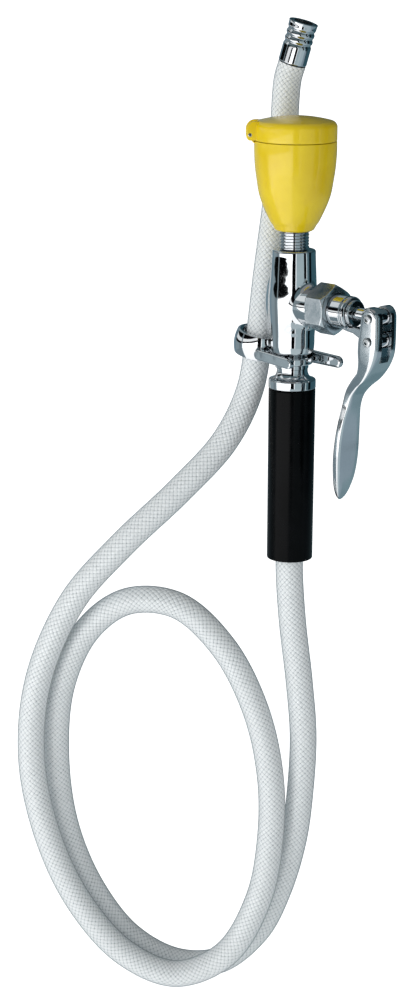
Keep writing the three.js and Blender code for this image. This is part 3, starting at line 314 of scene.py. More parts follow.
@dataclass(frozen=True)
class Finish:
    """What a surface is made of, as the values of one material.

    Args:
        name: the material's common name and how its surface was made.
        slot: the record's material that it shows; not used.
        light, dark: the two sRGB hex colours that its fine variation runs between.
        roughness, spread: mean roughness, and how far it varies to either side.
        grain_mm, relief_mm: size and height of the fine relief.
        patch_mm: size of the slow patches in colour and roughness.
        metallic: 1 for a bare or plated metal.
        ior: index of refraction, of a material that is no metal.
        coat: weight of a clear layer.
    """

    name: str
    slot: str
    light: str
    dark: str
    roughness: float
    spread: float = 0.05
    grain_mm: float = 0.4
    relief_mm: float = 0.01
    patch_mm: float = 14.0
    metallic: float = 1.0
    ior: float = 1.5
    coat: float = 0.0

    def build(self) -> bpy.types.Material:
        """Make the material: patches move colour and roughness, and grain gives the relief."""
        material, tree = new_material(self.name)
        place = add_node(tree, "TexCoord").outputs["Object"]
        patch = add_node(tree, "TexNoise", {"Scale": 1000.0 / self.patch_mm, "Detail": 3.0}, {0: place})
        grain = add_node(tree, "TexNoise", {"Scale": 1000.0 / self.grain_mm, "Detail": 2.0}, {0: place})
        colour = add_node(tree, "ValToRGB", links={0: patch}, stops=[(0.35, self.dark), (0.65, self.light)])
        low, high = max(0.0, self.roughness - self.spread), self.roughness + self.spread
        rough = add_node(tree, "MapRange", {"From Min": 0.3, "From Max": 0.7, "To Min": low, "To Max": high},
                         {"Value": patch})
        bump = add_node(tree, "Bump", {"Distance": self.relief_mm / 1000.0}, {"Height": grain})
        values = {"Metallic": self.metallic, "Coat Weight": self.coat}
        if self.metallic == 0.0:
            values["IOR"] = self.ior
        shader = add_node(tree, "BsdfPrincipled", values,
                          {"Base Color": colour, "Roughness": rough, "Normal": bump})
        add_node(tree, "OutputMaterial", links={"Surface": shader})
        return material


# Chromium plate over polished brass castings: near mirror, with the casting's slow waves
CHROME = Finish("polished chromium plate", "chrome", "#CDD0D2", "#C3C6C9", roughness=0.045,
                spread=0.025, grain_mm=14.0, relief_mm=0.12, patch_mm=22.0)
# The same plate on turned and milled pieces, straighter in its reflections
TURNED_CHROME = Finish("chromium plate on turned brass", "chrome", "#C8CBCE", "#BABDC0", roughness=0.06,
                       spread=0.03, grain_mm=1.2, relief_mm=0.004, patch_mm=12.0)
# Satin plate on the nut's milled flats, which spreads the lamp into even grey faces
SATIN_CHROME = Finish("satin chromium plate", "chrome", "#CACDD0", "#BABFC2", roughness=0.2,
                      grain_mm=0.5, relief_mm=0.006, patch_mm=9.0)
# Plate over brushed brass: the lever's broad face, that the palm keeps bright
BRUSHED_CHROME = Finish("chromium plate over brushed brass", "chrome", "#CDD0D2", "#C3C6C9",
                        roughness=0.11, spread=0.03, grain_mm=2.0, relief_mm=0.004, patch_mm=18.0)
# Bare turned steel: screws, spring and pins, greyer than the plate
STAINLESS = Finish("turned stainless steel", "steel", "#C9CBCC", "#AEB1B3", roughness=0.22,
                   spread=0.07, grain_mm=0.6, relief_mm=0.008, patch_mm=5.0)
# Warm unplated metal inside the water way
BRASS = Finish("machined brass", "brass", "#D8B56A", "#B98F45", roughness=0.28, spread=0.08,
               grain_mm=0.5, patch_mm=6.0)
# A moulding's gloss skin: a soft highlight over strong safety yellow
YELLOW_ABS = Finish("gloss yellow moulded ABS", "yellow_plastic", "#F2D606", "#EACB02", roughness=0.24,
                    spread=0.03, grain_mm=1.4, relief_mm=0.006, patch_mm=26.0, metallic=0.0, coat=0.3)
# Dipped vinyl, nearly black, with only a dim sheen along its side
BLACK_VINYL = Finish("black dip-moulded vinyl", "black_grip", "#050608", "#020304", roughness=0.24,
                     spread=0.04, grain_mm=0.7, relief_mm=0.012, patch_mm=10.0, metallic=0.0, ior=1.15)
# Matt seals
NITRILE = Finish("black nitrile rubber", "seal_rubber", "#1B1B1C", "#101011", roughness=0.72,
                 spread=0.08, grain_mm=0.5, relief_mm=0.02, patch_mm=4.0, metallic=0.0, ior=1.52)
# The regulator's plain engineering plastic
ACETAL = Finish("grey moulded acetal", "grey_plastic", "#8C9195", "#7B8084", roughness=0.45,
                spread=0.06, grain_mm=0.6, patch_mm=5.0, metallic=0.0, ior=1.48)
# The floor, white and without gloss
ACRYLIC = Finish("matt white acrylic", "", "#FFFFFF", "#FBFBFB", roughness=0.95, relief_mm=0.0,
                 patch_mm=400.0, metallic=0.0)


@dataclass(frozen=True)
class BraidedHose:
    """Clear vinyl hose over a woven white polyester braid.

    Two families of flat yarns cross the hose on opposite spirals, each going over one and under
    one of the other. u counts the way round and v the metres along, so a family's yarns are the
    whole steps of yarns * u + v / pitch, and the other's those of yarns * u - v / pitch.

    Args:
        yarns: yarns of each family round the hose.
        pitch_mm: distance along the hose from one yarn of a family to the next.
        strands: threads that lie side by side in a yarn.
        flatness: power of the profile across a yarn, less for a flatter one.
        dip: share of its height that a yarn loses where it dives.
        strand_relief: height of a thread, as a share of the yarn's.
        cloth, shade, groove: sRGB hex colours of the yarn, of the painted shade on its flank and of the
            painted shade in the gap.
        edge: the colour of the painted shade that darkens the hose where its wall is seen at a shallow angle.
    """

    name: str = "clear vinyl over polyester braid"
    slot: str = "hose_pvc"
    yarns: int = 16
    pitch_mm: float = 3.8
    strands: int = 3
    flatness: float = 0.42
    dip: float = 0.6
    strand_relief: float = 0.35
    # The shade and groove colours are painted shade of the braid's relief, darker where it lies lower
    cloth: str = "#F3F8FA"
    shade: str = "#DDE5E8"
    groove: str = "#4E5A60"
    # Painted shade for the hose's sides
    edge: str = "#707C82"

    def weave(self, tree: bpy.types.NodeTree) -> bpy.types.Node:
        """Height of the braid. In each cell the sum of the two step numbers tells which family
        lies on top, and the yarn's height is the rounded profile across it, less the dip where
        it dives at both ends of the cell."""
        split = add_node(tree, "SeparateXYZ", links={0: add_node(tree, "UVMap", uv_map="surface")})
        turn, run = (
            add_node(tree, "Math", {1: rate}, {0: split.outputs[way]}, operation="MULTIPLY")
            for way, rate in (("X", float(self.yarns)), ("Y", 1000.0 / self.pitch_mm)))
        steps, profiles, threads = [], [], []
        for operation in ("ADD", "SUBTRACT"):
            count = add_node(tree, "Math", links={0: turn, 1: run}, operation=operation)
            steps.append(add_node(tree, "Math", links={0: count}, operation="FLOOR"))
            swing = add_node(tree, "Math", {1: 0.5}, {0: count}, operation="PINGPONG")
            double = add_node(tree, "Math", {1: 2.0}, {0: swing}, operation="MULTIPLY")
            profiles.append(add_node(tree, "Math", {1: self.flatness}, {0: double}, operation="POWER"))
            fine = add_node(tree, "Math", {1: float(self.strands)}, {0: count}, operation="MULTIPLY")
            threads.append(add_node(tree, "Math", {1: 0.5}, {0: fine}, operation="PINGPONG"))
        both = add_node(tree, "Math", links=dict(enumerate(steps)), operation="ADD")
        parity = add_node(tree, "Math", {1: 1.0}, {0: both}, operation="PINGPONG")
        levels = []
        for over, under in ((0, 1), (1, 0)):
            dive = add_node(tree, "Math", {1: self.dip, 2: 1.0 - self.dip}, {0: profiles[under]},
                            operation="MULTIPLY_ADD")
            crown = add_node(tree, "Math", links={0: profiles[over], 1: dive}, operation="MULTIPLY")
            levels.append(add_node(tree, "Math", {1: self.strand_relief}, {0: threads[over], 2: crown},
                                   operation="MULTIPLY_ADD"))
        return add_node(tree, "Mix", links={0: parity, 2: levels[0], 3: levels[1]})

    def build(self) -> bpy.types.Material:
        """Make the material: colour by height with painted shade on the yarns' flanks and in the gaps, a
        little fray, and painted shade darker at the hose's sides.
        """
        material, tree = new_material(self.name)
        height = self.weave(tree)
        place = add_node(tree, "TexCoord").outputs["Object"]
        fray = add_node(tree, "TexNoise", {"Scale": 700.0, "Detail": 3.0}, {0: place})
        level = add_node(tree, "Math", {1: 0.5}, {0: fray, 2: height}, operation="MULTIPLY_ADD")
        # Painted shade: the lower the braid, the darker its colour, down to the groove's painted shade
        colour = add_node(tree, "ValToRGB", links={0: level},
                          stops=[(0.34, self.groove), (0.62, self.shade), (1.0, self.cloth)])
        # Painted shade: the colour is darkened towards the edge tone where the wall is seen at a shallow
        # angle
        shallow = add_node(tree, "LayerWeight", {"Blend": 0.5}).outputs["Facing"]
        wall = add_node(tree, "ValToRGB", links={0: shallow}, stops=[(0.56, "#FFFFFF"), (0.93, self.edge)])
        side_shaded = add_node(tree, "Mix", {0: 1.0}, {6: colour, 7: wall}, data_type="RGBA",
                          blend_type="MULTIPLY").outputs[2]
        bump = add_node(tree, "Bump", {"Distance": 0.0007, "Strength": 0.6}, {"Height": height})
        shader = add_node(tree, "BsdfPrincipled",
                          {"Roughness": 0.42, "IOR": 1.52, "Coat Weight": 0.5, "Coat Roughness": 0.12},
                          {"Base Color": side_shaded, "Normal": bump})
        add_node(tree, "OutputMaterial", links={"Surface": shader})
        return material


@cache
def material_of(finish: Finish | BraidedHose) -> bpy.types.Material:
    """The material of a finish, made at its first use."""
    return finish.build()


def make_piece(name: str, stands_for: str, shells: list[Shell], finish: Finish | BraidedHose,
               body: Body = Body.ROOT, sharp: float = 35.0) -> bpy.types.Object:
    """Put skins into one mesh object, dress it, and hand it to its body.

    Args:
        name: the object's name.
        stands_for: the CAD node that it replaces.
        shells: closed skins, in the valve's frame.
        finish: what it is made of.
        body: the body that it rides on.
        sharp: edges bent by more than this many degrees stay crisp.
    """
    points, faces, places = merged(shells)
    corners = np.concatenate([rows.ravel() for rows in faces]).astype(np.int32)
    sizes = np.concatenate([np.full(len(rows), rows.shape[1]) for rows in faces]).astype(np.int32)
    mesh = bpy.data.meshes.new(name)
    mesh.vertices.add(len(points))
    mesh.vertices.foreach_set("co", points.ravel())
    mesh.loops.add(len(corners))
    mesh.loops.foreach_set("vertex_index", corners)
    mesh.polygons.add(len(sizes))
    starts = np.concatenate([[0], np.cumsum(sizes)[:-1]]).astype(np.int32)
    mesh.polygons.foreach_set("loop_start", starts)
    mesh.polygons.foreach_set("loop_total", sizes)
    mesh.update(calc_edges=True)
    layer = mesh.uv_layers.new(name="surface")
    layer.data.foreach_set("uv", np.concatenate([uv.reshape(-1, 2) for uv in places]).ravel())
    mesh.validate()
    mesh.shade_smooth()
    mesh.set_sharp_from_angle(angle=math.radians(sharp))
    mesh.materials.append(material_of(finish))
    piece = put(name, mesh)
    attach(piece, body.value)
    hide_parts(stands_for)
    LOG.info("%s: %d faces, for %s", name, len(sizes), stands_for)
    return piece


def cut_away(piece: bpy.types.Object, cutters: list[list[Shell]], sharp: float) -> None:
    """Take closed skins out of a piece by exact Boolean cuts, and keep the result as its mesh."""
    tools = []
    for place, shells in enumerate(cutters):
        points, faces, _ = merged(shells)
        mesh = bpy.data.meshes.new(f"cutter_{place}")
        mesh.from_pydata(points.tolist(), [], [row for rows in faces for row in rows.tolist()])
        tools.append(put(f"cutter_{place}", mesh))
        cut = piece.modifiers.new(f"cut_{place}", "BOOLEAN")
        cut.operation, cut.solver, cut.object = "DIFFERENCE", "EXACT", tools[-1]
    graph = bpy.context.evaluated_depsgraph_get()
    shaped = bpy.data.meshes.new_from_object(piece.evaluated_get(graph))
    piece.modifiers.clear()
    for tool in tools:
        bpy.data.objects.remove(tool)
    shaped.name = piece.name
    piece.data = shaped
    shaped.shade_smooth()
    shaped.set_sharp_from_angle(angle=math.radians(sharp))


# ---- supply hose

# Points of the hose's centreline, listed from the grip's lower end to the ferrule
HOSE_ROUTE = [
    (0, 0, -171.3), (0, 0, -196), (2, 2, -234), (6, 6, -280), (8, 9, -322), (6, 9, -364), (1, 8, -404),
    (-9, 3, -446), (-22, -6, -480), (-43, -25, -505), (-66, -48, -506), (-90, -73, -486), (-110, -93, -448),
    (-124, -107, -398), (-129, -112, -342), (-124, -110, -286), (-109, -97, -243), (-86, -79, -221),
    (-58, -56, -223), (-32, -35, -253), (-13, -20, -300), (-3, -14, -350), (-2, -14, -398), (-6, -22, -446),
    (-22, -40, -489), (-48, -66, -505), (-76, -92, -489), (-101, -115, -449), (-119, -130, -397),
    (-129, -136, -338), (-127, -130, -278), (-111, -111, -220), (-86, -86, -178), (-60, -53, -138),
    (-43, -24, -103), (-35.5, -7, -68), (-33.4, 0, -31.5), (-36, 10.5, 17), (-36.5, 19, 62), (-36, 25.5, 112),
]


@dataclass
class SupplyHose:
    """The braided hose and its crimped ferrule.

    Args:
        radius: outside radius of the hose.
        sides, steps: points round it and along it.
        crimps: how far below the ferrule's open end each rolled crimp lies.
        ferrule_top: centre of that end.
        ferrule_axis: direction from the hose out through it.
    """

    radius: float = 9.9
    sides: int = 48
    steps: int = 900
    ferrule_radius: float = 10.5
    ferrule_length: float = 30.0
    ferrule_bore: float = 8.9
    crimps: tuple[float, ...] = (6.0, 10.6, 15.2)
    ferrule_top: tuple[float, float, float] = (-23.0, 31.0, 193.0)
    ferrule_axis: tuple[float, float, float] = (0.27, 0.10, 1.0)

    def centreline(self) -> np.ndarray:
        """Even points along a centripetal Catmull-Rom curve through the route.

        Each span is a cubic whose end slopes come from its neighbours, weighed by the square
        root of their distances.
        """
        axis = unit(np.array(self.ferrule_axis))
        end = np.array(self.ferrule_top) - axis * (self.ferrule_length + GAP)
        points = np.array([*HOSE_ROUTE, end - 12.0 * axis, end], float)
        padded = np.concatenate([[2 * points[0] - points[1]], points, [2 * points[-1] - points[-2]]])
        knot = np.sqrt(np.linalg.norm(np.diff(padded, axis=0), axis=1))[:, None]
        before, middle, after = knot[:-2], knot[1:-1], knot[2:]
        p0, p1, p2, p3 = padded[:-3], padded[1:-2], padded[2:-1], padded[3:]
        slope_in = ((p1 - p0) / before - (p2 - p0) / (before + middle) + (p2 - p1) / middle) * middle
        slope_out = ((p2 - p1) / middle - (p3 - p1) / (middle + after) + (p3 - p2) / after) * middle
        t = np.linspace(0.0, 1.0, 60, endpoint=False)[None, :, None]
        p1, p2, slope_in, slope_out = (part[:, None] for part in (p1, p2, slope_in, slope_out))
        curve = ((2 * t**3 - 3 * t**2 + 1) * p1 + (t**3 - 2 * t**2 + t) * slope_in
                 + (3 * t**2 - 2 * t**3) * p2 + (t**3 - t**2) * slope_out)
        line = np.concatenate([curve.reshape(-1, 3), points[-1:]])
        run = travelled(line)
        even = np.linspace(0.0, run[-1], self.steps)
        return np.stack([np.interp(even, run, line[:, k]) for k in range(3)], axis=1)

    def tube(self, line: np.ndarray) -> Shell:
        """Sweep a circle along a line, its sides kept square to a fixed direction it never nears."""
        tangent = unit(np.gradient(line, axis=0))
        side = unit(np.cross(tangent, [1.0, -1.0, 0.0]))
        over = np.cross(side, tangent)
        angle = full_turn(self.sides)[None, :, None]
        circle = np.cos(angle) * side[:, None] + np.sin(angle) * over[:, None]
        return grid_shell(line[:, None] + self.radius * circle)

    def ferrule(self) -> Shell:
        """Plain skirt over the hose, three rolled crimps and a flared lip, as one turned wall.

        It is drawn about +Z with z = 0 at the open end, then stood on the ferrule's axis.
        """
        height = np.linspace(-self.ferrule_length, 0.0, 220)
        crimps = sum(np.exp(-(((height + place) / 1.15) ** 2)) for place in self.crimps)
        lip = 0.35 * np.clip((height + 2.4) / 2.4, 0.0, 1.0) ** 2
        edge = 0.7 * np.clip((-self.ferrule_length + 1.0 - height), 0.0, 1.0) ** 2
        outer = self.ferrule_radius - 0.75 * crimps + lip - edge - 0.35
        outer[-1] -= 0.25
        wall = np.stack([outer, height], axis=1)
        inner = np.stack([np.full(6, self.ferrule_bore), np.linspace(0.0, -self.ferrule_length, 6)], axis=1)
        shell = spun(np.concatenate([wall, inner]))
        axis = unit(np.array(self.ferrule_axis))
        side = unit(np.cross([0.0, 1.0, 0.0], axis))
        shell.points = shell.points @ np.stack([side, np.cross(axis, side), axis])
        return shell.moved(*self.ferrule_top)

    def build(self) -> None:
        """Make the hose, with its end fitting."""
        line = self.centreline()
        hose = make_piece("braided_hose", "supply_hose", [self.tube(line)], BraidedHose(), sharp=60.0)
        ferrule = make_piece("crimped_ferrule", "supply_ferrule", [self.ferrule()], TURNED_CHROME)


# ---- cast valve


@dataclass
class CastValve:
    """The cast valve body and the threaded outlet nipple on top of it.

    The body is a turned column that swells into a rounded fin for the palm, with a side boss for
    the bonnet. The column and the fin meet in a smooth maximum, as fillets do in a casting.
    """

    top: float = 38.2
    collar: float = 15.4
    rounding: float = 1.4
    barrel: float = 16.8
    fin_half: float = 9.5
    fin_reach: float = 23.6
    fin_power: float = 2.9
    shoulder: float = -35.0
    neck: float = 11.0
    neck_bottom: float = -46.0
    boss: float = 13.8
    boss_end: float = 25.0
    boss_thread: float = 12.6
    boss_thread_length: float = 7.0
    fillet: float = 2.6
    fillet_rise: float = 3.0
    hidden_end: tuple[float, float] = (-6.0, 12.5)
    nipple: float = 10.6
    nipple_bore: float = 6.5
    nipple_top: float = 57.6
    thread_pitch: float = 2.15
    thread_depth: float = 1.2

    def radius(self, angle: np.ndarray, z: np.ndarray) -> np.ndarray:
        """Outside radius towards an angle at a height: (column^7 + fin^7)^(1/7).

        The fin in plan is a superellipse of its reach and its half thickness, which narrows
        towards the collar.
        """
        column = eased([(self.neck_bottom, self.neck), (self.shoulder - 2.5, self.neck),
                        (self.shoulder + 1, self.collar - 0.8), (-22, self.collar), (0, self.barrel),
                        (16, self.barrel - 0.6), (34, self.collar), (self.top, self.collar)], z)
        reach = eased([(self.shoulder - 2.5, self.neck - 1), (self.shoulder + 0.5, self.fin_reach * 0.78),
                       (-24, self.fin_reach * 0.88), (0, self.fin_reach), (22, self.fin_reach * 0.82),
                       (self.top - 3, self.collar - 2)], z)
        half = eased([(self.neck_bottom, 1.0), (-10, 1.0), (4, 0.98), (14, 0.86), (24, 0.62), (31, 0.42),
                      (self.top, 0.3)], z)
        thick = np.minimum(self.fin_half * half, reach)
        along, across = np.maximum(-np.cos(angle), 0.0), np.abs(np.sin(angle))
        power = self.fin_power
        fin = ((along / reach) ** power + (across / thick) ** power + 1e-9) ** (-1 / power)
        fin = np.where(np.cos(angle) > 0, thick, fin)
        return (column**7 + fin**7) ** (1 / 7)

    def casting(self) -> Shell:
        """The body's outside on a grid of direction and height, closed at both ends."""
        low = np.linspace(self.neck_bottom, self.shoulder + 3, 60)
        middle = np.linspace(self.shoulder + 3.6, self.top - self.rounding - 0.3, 110)
        turn = np.linspace(0.0, np.pi / 2, 8)
        heights = np.concatenate([low, middle, self.top - self.rounding * (1 - np.sin(turn))])[:, None]
        inset = np.concatenate([np.zeros(170), self.rounding * (1 - np.cos(turn))])[:, None]
        angle = full_turn(288)
        return grid_shell(around(self.radius(angle[None], heights) - inset, angle, heights))

    def side_boss(self) -> Shell:
        """The boss along +X: it rises from the body's own surface in a quadratic fillet.

        Its hidden end lies behind the washer screw, which travels through the boss.
        """
        angle = full_turn(160)
        fillet = self.fillet + self.fillet_rise * np.sin(angle) ** 2

        def root(radius: float | np.ndarray) -> np.ndarray:
            """x of the column's surface at each point of a circle of this radius about X."""
            y, z = radius * np.cos(angle), radius * np.sin(angle)
            column = self.radius(np.zeros_like(z), z)
            return np.sqrt(np.maximum(column**2 - y**2, 9.0))

        foot = np.stack([root(self.boss + fillet) - 0.25, self.boss + fillet])
        corner, rise = (np.stack([root(self.boss) + more, np.full_like(angle, self.boss)])
                        for more in (0.0, fillet))
        curve = bend(foot[:, None], corner[:, None], rise[:, None], np.linspace(0.0, 1.0, 14)[:, None])
        thread_end = self.boss_end + self.boss_thread_length
        edge = rounded([(0.0, self.boss), (self.boss_end, self.boss), (self.boss_end, self.boss_thread),
                        (thread_end, self.boss_thread)], 0.5, closed=False)[1:]
        x, radius = (np.concatenate([np.full((1, len(angle)), self.hidden_end[k]), curve[k],
                                     np.repeat(edge[:, k:k + 1], len(angle), axis=1)]) for k in (0, 1))
        return grid_shell(around(radius, angle, x, Axis.X))

    def threads(self) -> Shell:
        """The nipple: r = R - depth * wave(z / pitch - a / 2 pi), fading to plain ends."""
        angle, foot = full_turn(96), self.top + GAP + 0.05
        z = np.linspace(foot, self.nipple_top, 260)[:, None]
        phase = (z / self.thread_pitch - angle / (2 * np.pi)) % 1.0
        groove = np.clip(1.6 * (0.5 + 0.5 * np.cos(2 * np.pi * phase)) - 0.3, 0.0, 1.0)
        fade = np.clip((z - self.top - 0.5) / 0.6, 0, 1) * np.clip((self.nipple_top - 4.0 - z) / 0.8, 0, 1)
        ends = np.clip((self.top + 0.9 - z) / 0.6, 0, 1) + np.clip((z - self.nipple_top + 0.7) / 0.7, 0, 1)
        radius = self.nipple - self.thread_depth * groove * fade - 0.8 * ends
        bore = np.full((4, 1), self.nipple_bore)
        inner = around(bore, angle, np.linspace(self.nipple_top, foot, 4)[:, None])
        return grid_shell(np.concatenate([around(radius, angle, z), inner]), looped=True)

    def build(self) -> None:
        """Make the body and the nipple."""
        make_piece("cast_valve_body", "valve_body", [self.casting(), self.side_boss()], CHROME, sharp=50.0)
        make_piece("threaded_nipple", "outlet_nipple", [self.threads()], TURNED_CHROME, sharp=60.0)


# ---- bonnet and stem


@dataclass
class BonnetGroup:
    """The bonnet with its fulcrum lug, its hexagon union nut, the packing nut and the stem."""

    start: float = 33.6
    end: float = 57.0
    barrel: float = 11.6
    flange: float = 12.6
    flange_length: float = 2.4
    bore: float = 5.2
    nut_flats: float = 31.3
    nut_start: float = 25.3
    nut_length: float = 16.4
    packing_head: float = 9.4
    packing_length: float = 2.6
    stem: float = 4.6
    stem_start: float = 3.4
    washer_cup: float = 7.6
    washer_cup_length: float = 5.0
    tang_half: float = 4.3
    eye: float = 6.0
    eye_reach: float = 8.4
    clearance: float = 0.35

    def nut(self) -> Shell:
        """Radius towards an angle: the lesser of a hexagon, flat / cos(a), and the turned chamfer."""
        corner, long = self.nut_flats / math.sqrt(3.0), self.nut_length
        angle = full_turn(240)
        hexagon = self.nut_flats / 2 / np.cos((angle + np.pi / 6) % (np.pi / 3) - np.pi / 6)
        x = np.concatenate([np.linspace(0, 1.4, 12), np.linspace(1.8, long - 2.6, 24),
                            np.linspace(long - 2.4, long, 18)])[:, None]
        front = np.interp(x, [0, long - 2.4, long - 0.5, long],
                          [corner + 1, corner + 0.3, corner - 1.9, corner - 3.4])
        turned = np.minimum(front, np.interp(x, [0, 1.4], [corner - 1.4, corner + 1]))
        radius = -np.log(np.exp(-9 * hexagon[None]) + np.exp(-9 * turned)) / 9
        wall = around(radius, angle, self.nut_start + x, Axis.X)
        ends = around(np.full((2, 1), self.barrel + self.clearance), angle,
                      self.nut_start + np.array([[long], [0.0]]), Axis.X)
        return grid_shell(np.concatenate([wall, ends]), looped=True)

    def barrel_shell(self) -> Shell:
        """The bonnet's turned barrel, with the groove behind its end rim."""
        r, end, bore, flange_end = self.barrel, self.end, self.bore, self.start + self.flange_length
        corners = [(bore, self.start), (self.flange, self.start), (self.flange, flange_end), (r, flange_end),
                   (r, end - 4.4), (r - 1.0, end - 3.9), (r - 1.0, end - 3.2), (r - 0.1, end - 2.7),
                   (r - 0.1, end - 1.2), (r - 1.2, end), (bore, end)]
        return spun(rounded(corners, 0.35), Axis.X, 128)

    def lug(self) -> Shell:
        """The plate under the barrel that carries the fulcrum, with a round end."""
        r, end = self.barrel, self.end
        base = self.nut_start + self.nut_length + 4
        outline = np.concatenate([
            [(base, -r + 1), (end - 2, -r - 1.0), (end + 3, -r - 1.6)],
            arc(PIVOT_X, -DROP, self.eye, -125, 112),
            [(end + 5, -r + 3), (end - 1, -r + 1.4), (base + 2, -r + 2.2)]])
        return plate(outline, self.tang_half, 0.8)

    def packing_nut(self) -> Shell:
        """A turned collar with a rounded front edge and two fine grooves."""
        r, low, hole = self.packing_head, self.end + GAP, self.stem + self.clearance
        high = low + self.packing_length
        corners = [(hole, low), (r, low), (r, low + 0.9), (r - 0.5, low + 1.15), (r, low + 1.4),
                   (r, low + 2.0), (r - 0.8, high), (hole, high)]
        return spun(rounded(corners, 0.25), Axis.X, 96)

    def stem_shells(self) -> list[Shell]:
        """The rod with its washer cup, and the flat eye that the lever pulls."""
        x0, r, eye, cup = self.stem_start, self.stem, self.eye, self.washer_cup
        cup_end, eye_start = x0 + self.washer_cup_length, PIVOT_X - self.eye_reach
        rod = rounded([(0.0, x0), (cup, x0), (cup, cup_end), (r, cup_end), (r, eye_start + 1),
                       (r - 0.9, eye_start + 2.4), (r - 0.9, eye_start + 4), (0.0, eye_start + 4)],
                      0.4, closed=False)
        outline = np.concatenate([
            [(eye_start - 1.5, 1 - r), (eye_start, -eye), (PIVOT_X - 2, -eye)],
            arc(PIVOT_X, 0.0, eye, -88, 88),
            [(PIVOT_X - 2, eye), (eye_start, eye), (eye_start - 1.5, r - 1)]])
        return [spun(rod, Axis.X, 64, looped=False), plate(outline, self.tang_half, 0.7)]

    def build(self) -> None:
        """Make the four pieces."""
        make_piece("hexagon_union_nut", "bonnet_nut", [self.nut()], SATIN_CHROME, sharp=50.0)
        make_piece("turned_bonnet", "bonnet", [self.barrel_shell(), self.lug()], TURNED_CHROME)
        make_piece("gland_nut", "packing_nut", [self.packing_nut()], TURNED_CHROME)
        make_piece("pull_stem", "valve_stem", self.stem_shells(), TURNED_CHROME, Body.STEM)


# ---- squeeze lever


@dataclass
class SqueezeLever:
    """The forked lever and its two pivot screws."""

    half_depth: float = 7.6
    half_width: float = 11.5
    half_gap: float = 4.7
    slot_below: float = 15.0
    slot_half: float = 20.0
    hole: float = 2.85
    hole_half: float = 16.0
    screw: float = 2.5
    screw_head: float = 3.3
    head_height: float = 1.3
    recess: float = 1.45

    def stations(self) -> np.ndarray:
        """Rows down the lever: x and z of its middle line, half depth, half width and squareness.

        The head is a half round about the stem pivot. Below it the sizes run smoothly through
        listed stations.
        """
        turn = np.linspace(np.pi / 2, 0.0, 16)
        head = np.stack([np.full(16, PIVOT_X), self.half_depth * np.sin(turn),
                         np.maximum(0.5, self.half_depth * np.cos(turn)),
                         self.half_width - 0.9 * (1 - np.cos(turn)) ** 2, np.full(16, 0.3)], axis=1)
        rows = np.array([
            (0.0, -0.5, 7.6, 11.5, 0.30), (-1.2, -DROP, 8.8, 11.5, 0.28), (-1.9, -25, 8.5, 11.5, 0.28),
            (-3.7, -33, 6.6, 11.0, 0.28), (-7.7, -41, 4.7, 9.8, 0.30), (-14.4, -47.6, 4.0, 8.3, 0.32),
            (-20.2, -55, 3.7, 7.3, 0.34), (-23.2, -64, 3.2, 7.3, 0.34), (-25.3, -75, 2.9, 9.1, 0.34),
            (-27.0, -88, 3.0, 10.5, 0.34), (-28.2, -102, 3.2, 10.8, 0.34), (-29.4, -115, 3.1, 9.4, 0.36),
            (-31.0, -125, 2.6, 6.8, 0.44), (-32.1, -131, 1.7, 3.9, 0.6), (-32.7, -133.6, 0.7, 1.4, 0.9)])
        rows[:, 0] += PIVOT_X
        run = travelled(rows[:, :2])
        even = np.linspace(0.0, run[-1], 170)
        smooth = np.stack([eased(list(zip(run, rows[:, k])), even) for k in range(5)], axis=1)
        return np.concatenate([head, smooth])

    def shell(self) -> Shell:
        """Superellipse sections square to the middle line: out and across are sign * |trig| ** power."""
        rows = self.stations()
        run = unit(np.gradient(rows[:, :2], axis=0))
        normal = np.stack([-run[:, 1], run[:, 0]], axis=1)
        normal[rows[:, 1] > -DROP - 3] = (1.0, 0.0)
        angle = full_turn(112)[None]
        out, across = (rows[:, k:k + 1] * np.sign(wave) * np.abs(wave) ** rows[:, 4:5]
                       for k, wave in ((2, np.cos(angle)), (3, np.sin(angle))))
        x, z = (rows[:, k:k + 1] + normal[:, k:k + 1] * out for k in (0, 1))
        return grid_shell(np.stack([x, across, z], axis=2))

    def slot(self) -> Shell:
        """The room between the fork's plates, rounded at its lower end."""
        low, high = -DROP - self.slot_below, self.slot_half
        left, right = PIVOT_X - self.slot_half, PIVOT_X + self.slot_half
        corners = rounded([(left, low), (right, low), (right, high), (left, high)], 0.5, steps=2)
        return plate(corners, self.half_gap, 0.01)

    def pivot_holes(self) -> list[Shell]:
        """The two holes across the plates."""
        half = self.hole_half
        profile = [(0.0, -half), (self.hole, -half), (self.hole, half), (0.0, half)]
        return [spun(profile, Axis.Y, 40, looped=False).moved(PIVOT_X, 0.0, z) for z in (0.0, -DROP)]

    def screw_shell(self, z: float) -> Shell:
        """A pan head screw across the fork, with a six-sided recess in its head."""
        face = -self.half_width - GAP
        top, angle = face - self.head_height, full_turn(72)
        recess = self.recess / np.cos((angle % (np.pi / 3)) - np.pi / 6)
        outer = rounded([(self.screw_head, top), (self.screw_head, face), (self.screw, face),
                         (self.screw, self.half_width)], 0.45, closed=False)
        head = [(2.2, top), (self.screw_head - 0.5, face - 1.25), (self.screw_head - 0.12, face - 1.0)]
        socket = [(0.02, face - 0.2), (0.98, face - 0.2), (1.0, face - 1.1), (1.12, top)]
        rows = [(recess * share, y) for share, y in socket]
        rows += [(np.full(72, radius), y) for radius, y in np.concatenate([head, outer[1:]])]
        grid = np.stack([np.stack([radius * np.cos(angle), np.full(72, y), radius * np.sin(angle)], axis=1)
                         for radius, y in rows])
        return grid_shell(grid).moved(PIVOT_X, 0.0, z)

    def build(self) -> None:
        """Make the lever, cut its slot and holes, and set the screws."""
        lever = make_piece("forked_lever", "lever", [self.shell()], BRUSHED_CHROME, Body.LEVER)
        cut_away(lever, [[self.slot()], self.pivot_holes()], sharp=38.0)
        for place, node, z in (("upper", "stem_screw", 0.0), ("lower", "fulcrum_screw", -DROP)):
            make_piece(f"{place}_pivot_screw", node, [self.screw_shell(z)], STAINLESS, Body.LEVER)


# ---- eyewash cup


